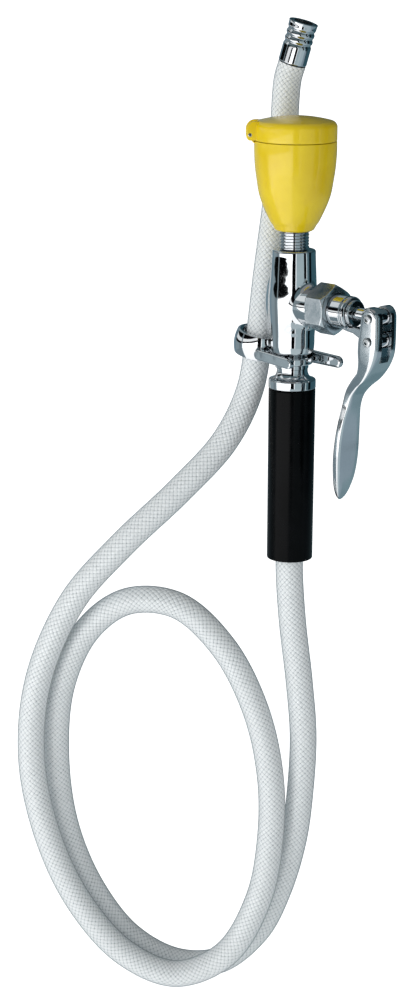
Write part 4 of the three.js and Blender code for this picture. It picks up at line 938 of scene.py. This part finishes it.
@dataclass
class EyewashCup:
    """The yellow bowl, its flip lid and the hinge between them."""

    bottom: float = 51.4
    rim: float = 114.0
    radius: float = 28.9
    wall: float = 2.2
    floor: float = 64.0
    bore: float = 10.9
    drain: float = 8.2
    lid_bottom: float = 114.4
    lid_rim: float = 128.0
    lid_dome: float = 3.3
    lid_edge: float = 4.4
    lid_edge_turn: float = math.radians(72.0)
    hinge_reach: float = 31.9
    hinge_z: float = 118.6
    eye: float = 2.8
    knuckle_half: float = 5.6
    knuckle_root: float = 1.4
    ear: float = 2.6
    ear_gap: float = 0.4
    ear_drop: float = 3.9
    ear_corner: float = 6.6
    pin_radius: float = 1.4

    def bowl(self) -> Shell:
        """An ogee bowl: its side runs smoothly through set shares of the rim's radius."""
        rise, radius, inside = self.rim - self.bottom, self.radius, self.radius - self.wall
        shares = [(0.48, 0.015), (0.6, 0.107), (0.78, 0.286), (0.875, 0.415), (0.93, 0.56), (0.975, 0.705),
                  (1.0, 0.88), (1.0, 1.0)]
        side = [(z * rise + self.bottom, r * radius) for r, z in shares]
        height = np.linspace(side[0][0], self.rim - 0.6, 90)
        outer = np.stack([eased(side, height), height], axis=1)
        foot = rounded([(self.bore, self.bottom), (0.42 * radius, self.bottom), side[0][::-1],
                        tuple(outer[4])], 0.9, closed=False)[:-1]
        lip = rounded([(radius, self.rim - 0.6), (radius, self.rim), (inside, self.rim),
                       (inside, self.rim - 0.8)], 0.5, closed=False)[1:-1]
        inner = outer[::-1][2:-16] - np.array([self.wall, 0.0])
        inner = inner[inner[:, 1] > self.floor + 3]
        reach, low = inner[-1, 0], self.floor - 6
        basin = [(reach - 2.5, self.floor + 0.6), (reach - 5, self.floor), (self.drain, self.floor),
                 (self.drain, low), (self.bore, low)]
        return spun(np.concatenate([foot, outer[5:], lip, inner, basin]), sides=192)

    def cup_knuckle(self) -> Shell:
        """The eye on the bowl's side that stands between the lid's ears, on a short web."""
        reach, root, inside = self.hinge_reach, self.rim - self.knuckle_root, self.radius - 1.0
        outline = np.concatenate([
            [(-inside, root), (-self.radius - 0.2, root)], arc(-reach, self.hinge_z, self.eye, 198, 0),
            [(self.eye - reach, self.rim - 0.5), (-inside, self.rim - 0.5)]])
        return plate(outline, self.knuckle_half, 0.2).turned(Axis.Z, HINGE_TURN)

    def lid_ears(self) -> list[Shell]:
        """Two comma-shaped ears that run down from the lid's edge to the pin.

        Each outline goes round the pin by a quarter ellipse, up its back and over a large corner.
        """
        reach, z, top, corner = self.hinge_reach, self.hinge_z, self.lid_rim, self.ear_corner
        inside, back = self.radius - 1.6, -self.hinge_reach - self.eye
        turn = np.radians(np.linspace(-90, -180, 14))
        heel = np.stack([-reach + self.eye * np.cos(turn), z + self.ear_drop * np.sin(turn)], axis=1)
        outline = np.concatenate([
            [(-inside, z - self.ear_drop)], heel, arc(back + corner, top - corner, corner, 180, 90, 14),
            [(self.lid_edge - self.radius, top - 0.1), (-inside, top - self.lid_edge)]])
        middle = self.knuckle_half + self.ear_gap + self.ear / 2
        return [plate(outline, self.ear / 2, 0.5).moved(y=side * middle).turned(Axis.Z, HINGE_TURN)
                for side in (-1, 1)]

    def lid(self) -> Shell:
        """A skirt, a round edge and a low dome, as one wall of even thickness.

        The top rises by dome * (1 - (r / flat)^2), flat being where the edge ends.
        """
        corner, low, rim, radius = self.lid_edge, self.lid_bottom, self.lid_rim, self.radius
        inside = radius - self.wall
        turn = np.linspace(0.0, self.lid_edge_turn, 14)
        flat = radius - corner * (1 - math.cos(self.lid_edge_turn))
        edge_foot = rim - corner * math.sin(self.lid_edge_turn)
        foot = rounded([(inside, low), (radius, low), (radius, edge_foot)], 0.5, closed=False)[:-1]
        edge = np.stack([radius - corner * (1 - np.cos(turn)), edge_foot + corner * np.sin(turn)], axis=1)
        top, under = (np.stack([span, level + self.lid_dome * (1 - (span / flat) ** 2)], axis=1)
                      for span, level in ((np.linspace(flat - 0.6, 0.0, 30), rim),
                                          (np.linspace(0.0, radius - 6.0, 20), rim - 2.0)))
        inner = [(inside, rim - 4.4), (inside, low + 0.4)]
        return spun(np.concatenate([foot, edge, top, under, inner]), sides=192)

    def pin(self) -> Shell:
        """A short rivet with domed ends."""
        half = self.knuckle_half + self.ear_gap + self.ear + 0.25
        profile = rounded([(0.0, -half), (self.pin_radius, -half), (self.pin_radius, half), (0.0, half)], 0.5,
                          closed=False)
        rivet = spun(profile, Axis.Y, 40, looped=False).moved(-self.hinge_reach, 0.0, self.hinge_z)
        return rivet.turned(Axis.Z, HINGE_TURN)

    def build(self) -> None:
        """Make the bowl, the lid and the pin."""
        make_piece("eyewash_bowl", "eyewash_cup", [self.bowl(), self.cup_knuckle()], YELLOW_ABS)
        make_piece("flip_lid", "cup_lid", [self.lid(), *self.lid_ears()], YELLOW_ABS, Body.LID)
        make_piece("hinge_rivet", "lid_hinge_pin", [self.pin()], STAINLESS)


# ---- hose ring bracket and grip


@dataclass
class HoseBracket:
    """The ring that the hose runs through, its collar on the neck, the near arm and the far peg."""

    z: float = -40.6
    collar: float = 14.2
    collar_height: float = 5.0
    ring_x: float = -33.4
    ring_z: float = -32.6
    bore: float = 12.6
    outer: float = 16.6
    bulge: float = 1.2
    height: float = 17.6
    tilt: float = math.radians(12.0)
    arm_y: float = 13.6
    arm_half: float = 2.3
    arm_rise: float = 2.6
    neck: float = 11.3

    def ring(self) -> Shell:
        """A band with a crowned outside: radius = outer + bulge * (1 - (2 z / height)^2)."""
        top = self.height / 2
        z = np.linspace(0.4 - top, top - 0.4, 40)
        crown = self.outer - 0.4 + (self.bulge + 0.4) * (1 - (2 * z / self.height) ** 2)
        bore = np.stack([np.full(16, self.bore), np.linspace(top - 0.7, 0.7 - top, 16)], axis=1)
        edge = [(self.outer - 1.2, top), (self.bore + 0.9, top)]
        wall = np.concatenate([np.stack([crown, z], axis=1), edge, bore, [(r, -h) for r, h in edge[::-1]]])
        return spun(wall, sides=144).turned(Axis.Y, self.tilt).moved(self.ring_x, 0.0, self.ring_z)

    def arm(self, y: float, start: tuple[float, float], end: tuple[float, float, float],
            bevel: float) -> Shell:
        """A flat bar with round ends, from start, its x and height, to end, its x, z and height."""
        (x0, h0), (x1, z1, h1), z0 = start, end, self.z + self.arm_rise
        share = np.linspace(0.0, 1.0, 12)[1:-1, None]
        lower = (1 - share) * np.array([x0, z0 - h0 / 2]) + share * np.array([x1, z1 - h1 / 2])
        upper = (1 - share) * np.array([x1, z1 + h1 / 2]) + share * np.array([x0, z0 + h0 / 2])
        outline = np.concatenate([lower, arc(x1, z1, h1 / 2, -90, 90), upper, arc(x0, z0, h0 / 2, 90, 270)])
        return plate(outline, self.arm_half, bevel).moved(y=y)

    def neck_collar(self) -> Shell:
        """The rounded collar that clamps the neck."""
        low, high = self.z - self.collar_height / 2, self.z + self.collar_height / 2
        corners = [(self.neck, low), (self.collar, low), (self.collar, high), (self.neck, high)]
        return spun(rounded(corners, 1.0), sides=128)

    def build(self) -> None:
        """Make the bracket as one casting."""
        near = self.arm(-self.arm_y, (-19.5, 7.4), (9.0, self.z, 7.4), 1.0)
        far = self.arm(self.arm_y, (self.ring_x + 8, 10.0), (31.0, self.z + 1, 8.4), 1.8)
        make_piece("ring_bracket", "hose_ring_bracket", [self.ring(), self.neck_collar(), near, far], CHROME)


@dataclass
class Grip:
    """The flared chrome collar under the neck and the black sleeve that the hand holds."""

    neck: float = 11.0
    collar: float = 16.8
    collar_top: float = -46.3
    flare_z: float = -54.6
    top: float = -60.6
    length: float = 125.0
    top_radius: float = 16.7
    bottom_radius: float = 16.4
    bore: float = 9.6
    mouth: float = 10.4
    mouth_depth: float = 12.0
    mouth_end: float = 14.0

    def flare(self) -> Shell:
        """A quarter-ellipse flare from the neck out to the skirt band."""
        turn = np.linspace(0.0, np.pi / 2, 30)
        start, rim, foot = self.collar_top - 1.6, self.collar - 0.6, self.flare_z + 0.7
        curve = np.stack([self.neck + (rim - self.neck) * (1 - np.cos(turn)),
                          start + (foot - start) * np.sin(turn)], axis=1)
        band = rounded([(rim, foot), (self.collar, self.flare_z), (self.collar, self.top + GAP),
                        (self.neck - 1, self.top + GAP)], 0.35, closed=False)[1:]
        head = [(self.neck - 1.5, self.collar_top), (self.neck, self.collar_top)]
        return spun(np.concatenate([head, curve, band]), sides=160)

    def sleeve(self) -> Shell:
        """A plain sleeve, a little narrower at its lower end, with rolled edges and a bore."""
        low = self.top - self.length
        corners = [(self.bore, self.top), (self.top_radius, self.top), (self.bottom_radius, low),
                   (self.mouth, low), (self.mouth, low + self.mouth_depth), (self.bore, low + self.mouth_end)]
        return spun(rounded(corners, 1.3, steps=6), sides=160)

    def build(self) -> None:
        """Make the collar and the sleeve."""
        make_piece("flared_collar", "grip_collar", [self.flare()], CHROME)
        make_piece("vinyl_sleeve", "grip_sleeve", [self.sleeve()], BLACK_VINYL)


# ---- studio

# The surround's bands of height: the range that their colours are mapped over, and the blends
# from the lower part to the middle, into and out of the strip lamp, and to the upper part
BAND_RANGE = (-0.75, 1.75)
LOWER_END, LAMP_START = (-0.165, -0.155), (-0.0375, -0.025)
LAMP_END, UPPER_START = (0.175, 0.2), (0.625, 0.75)
# The bands climb towards the camera's right
BAND_LEAN = (-0.09, -0.09, 1.0)
UPPER_STRENGTH = 1.3


@dataclass(frozen=True)
class Panel:
    """One glowing panel or card of the surround that polished metal mirrors.

    Args:
        start, end: where it stands, in degrees to the right of the camera's direction.
        tone: sRGB hex colour of its lower part.
        strength: how bright that part is.
        middle: sRGB hex colour at the object's height, or the tone.
        lamp: sRGB hex colour of the strip above that, or the middle one.
        upper: sRGB hex colour above head height.
    """

    start: float
    end: float
    tone: str
    strength: float = 1.6
    middle: str = ""
    lamp: str = ""
    upper: str = "#4A5C62"

    def build(self, name: str) -> bpy.types.Material:
        """Make the glowing material: each band has its colour, and only the lower its strength."""
        material, tree = new_material(name)
        place = add_node(tree, "TexCoord").outputs["Object"]
        height = add_node(tree, "VectorMath", {1: BAND_LEAN}, {0: place},
                          operation="DOT_PRODUCT").outputs["Value"]
        low, high = BAND_RANGE
        share = add_node(tree, "MapRange", {"From Min": low, "From Max": high}, {"Value": height})
        middle = self.middle or self.tone
        lamp = self.lamp or middle
        tones = (self.tone, middle, middle, lamp, lamp, middle, middle, self.upper)
        edges = (*LOWER_END, *LAMP_START, *LAMP_END, *UPPER_START)
        stops = [((edge - low) / (high - low), tone) for edge, tone in zip(edges, tones)]
        colour = add_node(tree, "ValToRGB", links={0: share}, stops=stops)
        bright = add_node(tree, "MapRange", {
            "From Min": LOWER_END[0], "From Max": LOWER_END[1], "To Min": self.strength,
            "To Max": UPPER_STRENGTH}, {"Value": height})
        glow = add_node(tree, "Emission", links={"Color": colour, "Strength": bright})
        add_node(tree, "OutputMaterial", links={"Surface": glow})
        return material


# Left to right about the object: a grey room behind, the large soft box beside the camera with a
# black wall and a strip lamp above it, a grey reflector on its right and a dark slate room
SURROUND = (
    Panel(-180.0, -132.0, "#6C7F89", upper="#8A979B"),
    Panel(-132.0, -104.0, "#7E8C92", middle="#050606", lamp="#E8ECED", upper="#8E9A9E"),
    Panel(-104.0, -89.5, "#6F7A7F", middle="#050606", lamp="#E8ECED", upper="#E9EDEE"),
    Panel(-89.5, -83.0, "#8F9BA0", middle="#7F8B90", upper="#E9EDEE"),
    Panel(-83.0, -9.0, "#FFFFFF", 2.6, middle="#040506", lamp="#FFFFFF", upper="#5F7177"),
    Panel(-9.0, 8.0, "#030405"), Panel(8.0, 12.0, "#F4F7F8"), Panel(12.0, 52.0, "#9AA9AD", upper="#4A5D63"),
    Panel(52.0, 66.0, "#050809"), Panel(66.0, 71.0, "#B9C6CA"), Panel(71.0, 84.0, "#4C646C"),
    Panel(84.0, 100.0, "#050C0F", upper="#5A6B72"), Panel(100.0, 180.0, "#33505A", middle="#2B444C"),
)
# Cards that lie on the floor about the object
FLOOR_CARDS = (
    Panel(-180.0, -84.0, "#75848B", 1.4), Panel(-84.0, -12.0, "#FFFFFF", 1.7), Panel(-12.0, 48.0, "#A9B5B9"),
    Panel(48.0, 76.0, "#A0AFB4"), Panel(76.0, 98.0, "#82919A"), Panel(98.0, 125.0, "#70858C"),
    Panel(125.0, 180.0, "#637A81"),
)


def placement(at: np.ndarray, right: np.ndarray, up: np.ndarray, back: np.ndarray) -> Matrix:
    """The matrix that puts a thing at a point with its axes along three directions."""
    matrix = np.eye(4)
    matrix[:3] = np.stack([right, up, back, at], axis=1)
    return Matrix(matrix.tolist())


@dataclass
class Studio:
    """A pale floor, soft lights and the camera of the photograph.

    Args:
        camera_at: the camera's place in the row frame, in metres.
        azimuth, pitch, roll: its direction, in degrees.
        focal_px, height_px: its focal length and frame, in pixels.
        floor_z, floor_glow: height of the floor, and how bright it looks to the object.
        surround_radius, surround_top: how far off the panels stand and how high they reach.
        card_lift: height of the cards over the floor.
        middle: centre of the panels' ring, in metres.
        key_side, key_reach, key_height, key_power: the lamp's direction, place and power.
        key_size, target: its width and height, and the point that it faces.
        light_left, light_right, light_above, light_mirrored: levels of the light from all round.
        dimming: how steeply a direction rises where the light from above starts and ends to dim.
        floor_half: half the floor's width.
    """

    camera_at: tuple[float, float, float] = (1.27366, -1.36731, 0.11732)
    azimuth: float = 45.0
    pitch: float = 14.0
    roll: float = 0.4
    focal_px: float = 2624.0
    height_px: float = 1006.0
    floor_z: float = -0.745
    floor_glow: float = 0.35
    floor_half: float = 40.0
    surround_radius: float = 1.6
    surround_top: float = 1.8
    card_lift: float = 0.002
    middle: tuple[float, float] = (0.03, -0.05)
    key_side: float = -52.0
    key_reach: float = 2.2
    key_height: float = 0.35
    key_power: float = 16.0
    key_size: tuple[float, float] = (1.2, 1.4)
    target: tuple[float, float, float] = (0.0, -0.03, -0.25)
    light_left: float = 0.75
    light_right: float = 0.25
    light_above: float = 0.5
    dimming: tuple[float, float] = (0.15, 0.8)
    light_mirrored: float = 0.35

    def camera(self) -> None:
        """Look along the azimuth, tipped down by the pitch and turned by the roll."""
        data = bpy.data.cameras.new("camera")
        turn, tip, lean = (math.radians(value) for value in (self.azimuth, self.pitch, self.roll))
        right = np.array([math.cos(turn), math.sin(turn), 0.0])
        level = np.array([-math.sin(turn), math.cos(turn), 0.0])
        forward = level * math.cos(tip) - np.array([0.0, 0.0, math.sin(tip)])
        up = level * math.sin(tip) + np.array([0.0, 0.0, math.cos(tip)])
        leaned_right = right * math.cos(lean) + up * math.sin(lean)
        leaned_up = up * math.cos(lean) - right * math.sin(lean)
        data.sensor_width = 36.0
        data.lens = self.focal_px / self.height_px * data.sensor_width
        data.clip_end = 100.0
        camera = put("camera", data)
        camera.matrix_world = placement(np.array(self.camera_at), leaned_right, leaned_up, -forward)
        bpy.context.scene.camera = camera

    def towards(self, degrees: np.ndarray | float) -> np.ndarray:
        """Level directions at angles to the right of the one from the object to the camera."""
        turn = np.radians(np.asarray(degrees, float) + self.azimuth - 90.0)
        return np.stack([np.cos(turn), np.sin(turn)], axis=-1)

    def key(self) -> None:
        """A large soft lamp to the left of the camera, a little above the object's middle."""
        data = bpy.data.lights.new("key", "AREA")
        data.shape, data.energy = "RECTANGLE", self.key_power
        data.size, data.size_y = self.key_size
        at = np.array([*(self.key_reach * self.towards(self.key_side)), self.key_height])
        back = unit(at - np.array(self.target))
        side = unit(np.cross([0.0, 0.0, 1.0], back))
        light = put("key", data)
        light.matrix_world = placement(at, side, np.cross(back, side), back)
        light.visible_glossy = False

    def panels(self) -> None:
        """Stand the surround's panels on the floor and lay the cards on it, each as a grid of
        places: x, y = middle + reach * direction."""
        tall, wide = 12, 24
        i, j = (part.ravel() for part in np.meshgrid(np.arange(tall - 1), np.arange(wide - 1), indexing="ij"))
        corner = i * wide + j
        faces = np.stack([corner, corner + 1, corner + wide + 1, corner + wide], axis=1)
        wall = (np.full(tall, self.surround_radius), np.linspace(self.floor_z, self.surround_top, tall))
        lift = self.card_lift
        card = (np.linspace(lift, self.surround_radius, tall), np.full(tall, self.floor_z + lift))
        rows = [(f"surround_{k}", panel, wall) for k, panel in enumerate(SURROUND)]
        rows += [(f"floor_card_{k}", panel, card) for k, panel in enumerate(FLOOR_CARDS)]
        for name, panel, (reach, level) in rows:
            across = self.towards(np.linspace(panel.start, panel.end, wide))
            flat = across[None] * reach[:, None, None] + np.array(self.middle)
            up = np.broadcast_to(level[:, None, None], (tall, wide, 1))
            mesh = bpy.data.meshes.new(name)
            mesh.from_pydata(np.concatenate([flat, up], axis=2).reshape(-1, 3).tolist(), [], faces.tolist())
            mesh.materials.append(panel.build(f"studio {name}"))
            stand = put(name, mesh)
            stand.visible_camera = stand.visible_diffuse = stand.visible_shadow = False

    def floor(self) -> None:
        """A wide pale floor, level, that glows a little as a lit table does."""
        mesh = bpy.data.meshes.new("floor")
        half = self.floor_half
        corners = [(x * half, y * half, self.floor_z) for x, y in ((-1, -1), (1, -1), (1, 1), (-1, 1))]
        mesh.from_pydata(corners, [], [(0, 1, 2, 3)])
        material = ACRYLIC.build()
        tree = material.node_tree
        shader = next(node for node in tree.nodes if node.type == "BSDF_PRINCIPLED")
        shader.inputs["Emission Color"].default_value = linear("#FFFFFF")
        seen = add_node(tree, "LightPath").outputs["Is Camera Ray"]
        glow = add_node(tree, "MapRange", {"To Min": self.floor_glow, "To Max": 1.0}, {"Value": seen})
        tree.links.new(glow.outputs["Result"], shader.inputs["Emission Strength"])
        mesh.materials.append(material)
        put("floor", mesh)

    def surround_light(self) -> None:
        """Soft light from all round: white behind, and for the object brighter towards the left
        and dimmer from above, as (base + side * d . left) * (1 - dim * up)."""
        world = bpy.data.worlds.new("soft surround")
        world.use_nodes = True
        tree = world.node_tree
        tree.nodes.clear()
        way = add_node(tree, "TexCoord").outputs["Generated"]
        left = (*(float(value) for value in self.towards(self.key_side)), 0.0)
        lean = add_node(tree, "VectorMath", {1: left}, {0: way}, operation="DOT_PRODUCT").outputs["Value"]
        side = add_node(tree, "MapRange", {
            "From Min": -1.0, "From Max": 1.0, "To Min": self.light_right, "To Max": self.light_left},
            {"Value": lean})
        rise = add_node(tree, "SeparateXYZ", links={0: way}).outputs["Z"]
        low, high = self.dimming
        over = add_node(tree, "MapRange", {
            "From Min": low, "From Max": high, "To Min": 1.0, "To Max": self.light_above}, {"Value": rise})
        both = add_node(tree, "Math", links={0: side, 1: over}, operation="MULTIPLY")
        path = add_node(tree, "LightPath")
        mirrored = add_node(tree, "Mix", {3: self.light_mirrored},
                            {0: path.outputs["Is Glossy Ray"], 2: both})
        level = add_node(tree, "Mix", {3: 1.0}, {0: path.outputs["Is Camera Ray"], 2: mirrored})
        light = add_node(tree, "Background", {"Color": linear("#FFFFFF")}, {"Strength": level})
        add_node(tree, "OutputWorld", links={"Surface": light})
        bpy.context.scene.world = world
        bpy.context.scene.view_settings.view_transform = "Standard"

    def build(self) -> None:
        """Set up the camera, the lights and what the chrome reflects."""
        self.camera()
        self.floor()
        self.surround_light()
        self.key()
        self.panels()


# ---- carried pieces

# The solids that show as they are, inside the valve, the grip, the cup and the ferrule
CARRIED: dict[str, Finish] = {
    "valve_seat": BRASS, "seat_washer": NITRILE, "washer_screw": STAINLESS, "return_spring": STAINLESS,
    "bonnet_gasket": NITRILE, "stem_packing": NITRILE, "flow_regulator": ACETAL, "cup_washer": NITRILE,
    "spray_head": YELLOW_ABS, "grip_tube": STAINLESS, "hose_coupling": BRASS, "hose_stem": STAINLESS,
    "inlet_gasket": NITRILE,
}


def dress_carried() -> None:
    """Give each solid that still shows its finish."""
    for name, finish in CARRIED.items():
        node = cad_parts[name]
        material = material_of(finish)
        for place in node.material_slots:
            place.link = "OBJECT"
            place.material = material
        if not node.material_slots:
            node.data.materials.append(material)


def main() -> None:
    """Build the studio, then each sub-assembly."""
    logging.basicConfig(level=logging.INFO, format="%(name)s %(message)s")
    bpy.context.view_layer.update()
    Studio().build()
    for group in (SupplyHose, CastValve, BonnetGroup, SqueezeLever, EyewashCup, HoseBracket, Grip):
        group().build()
    dress_carried()


if __name__ == "__main__":
    main()
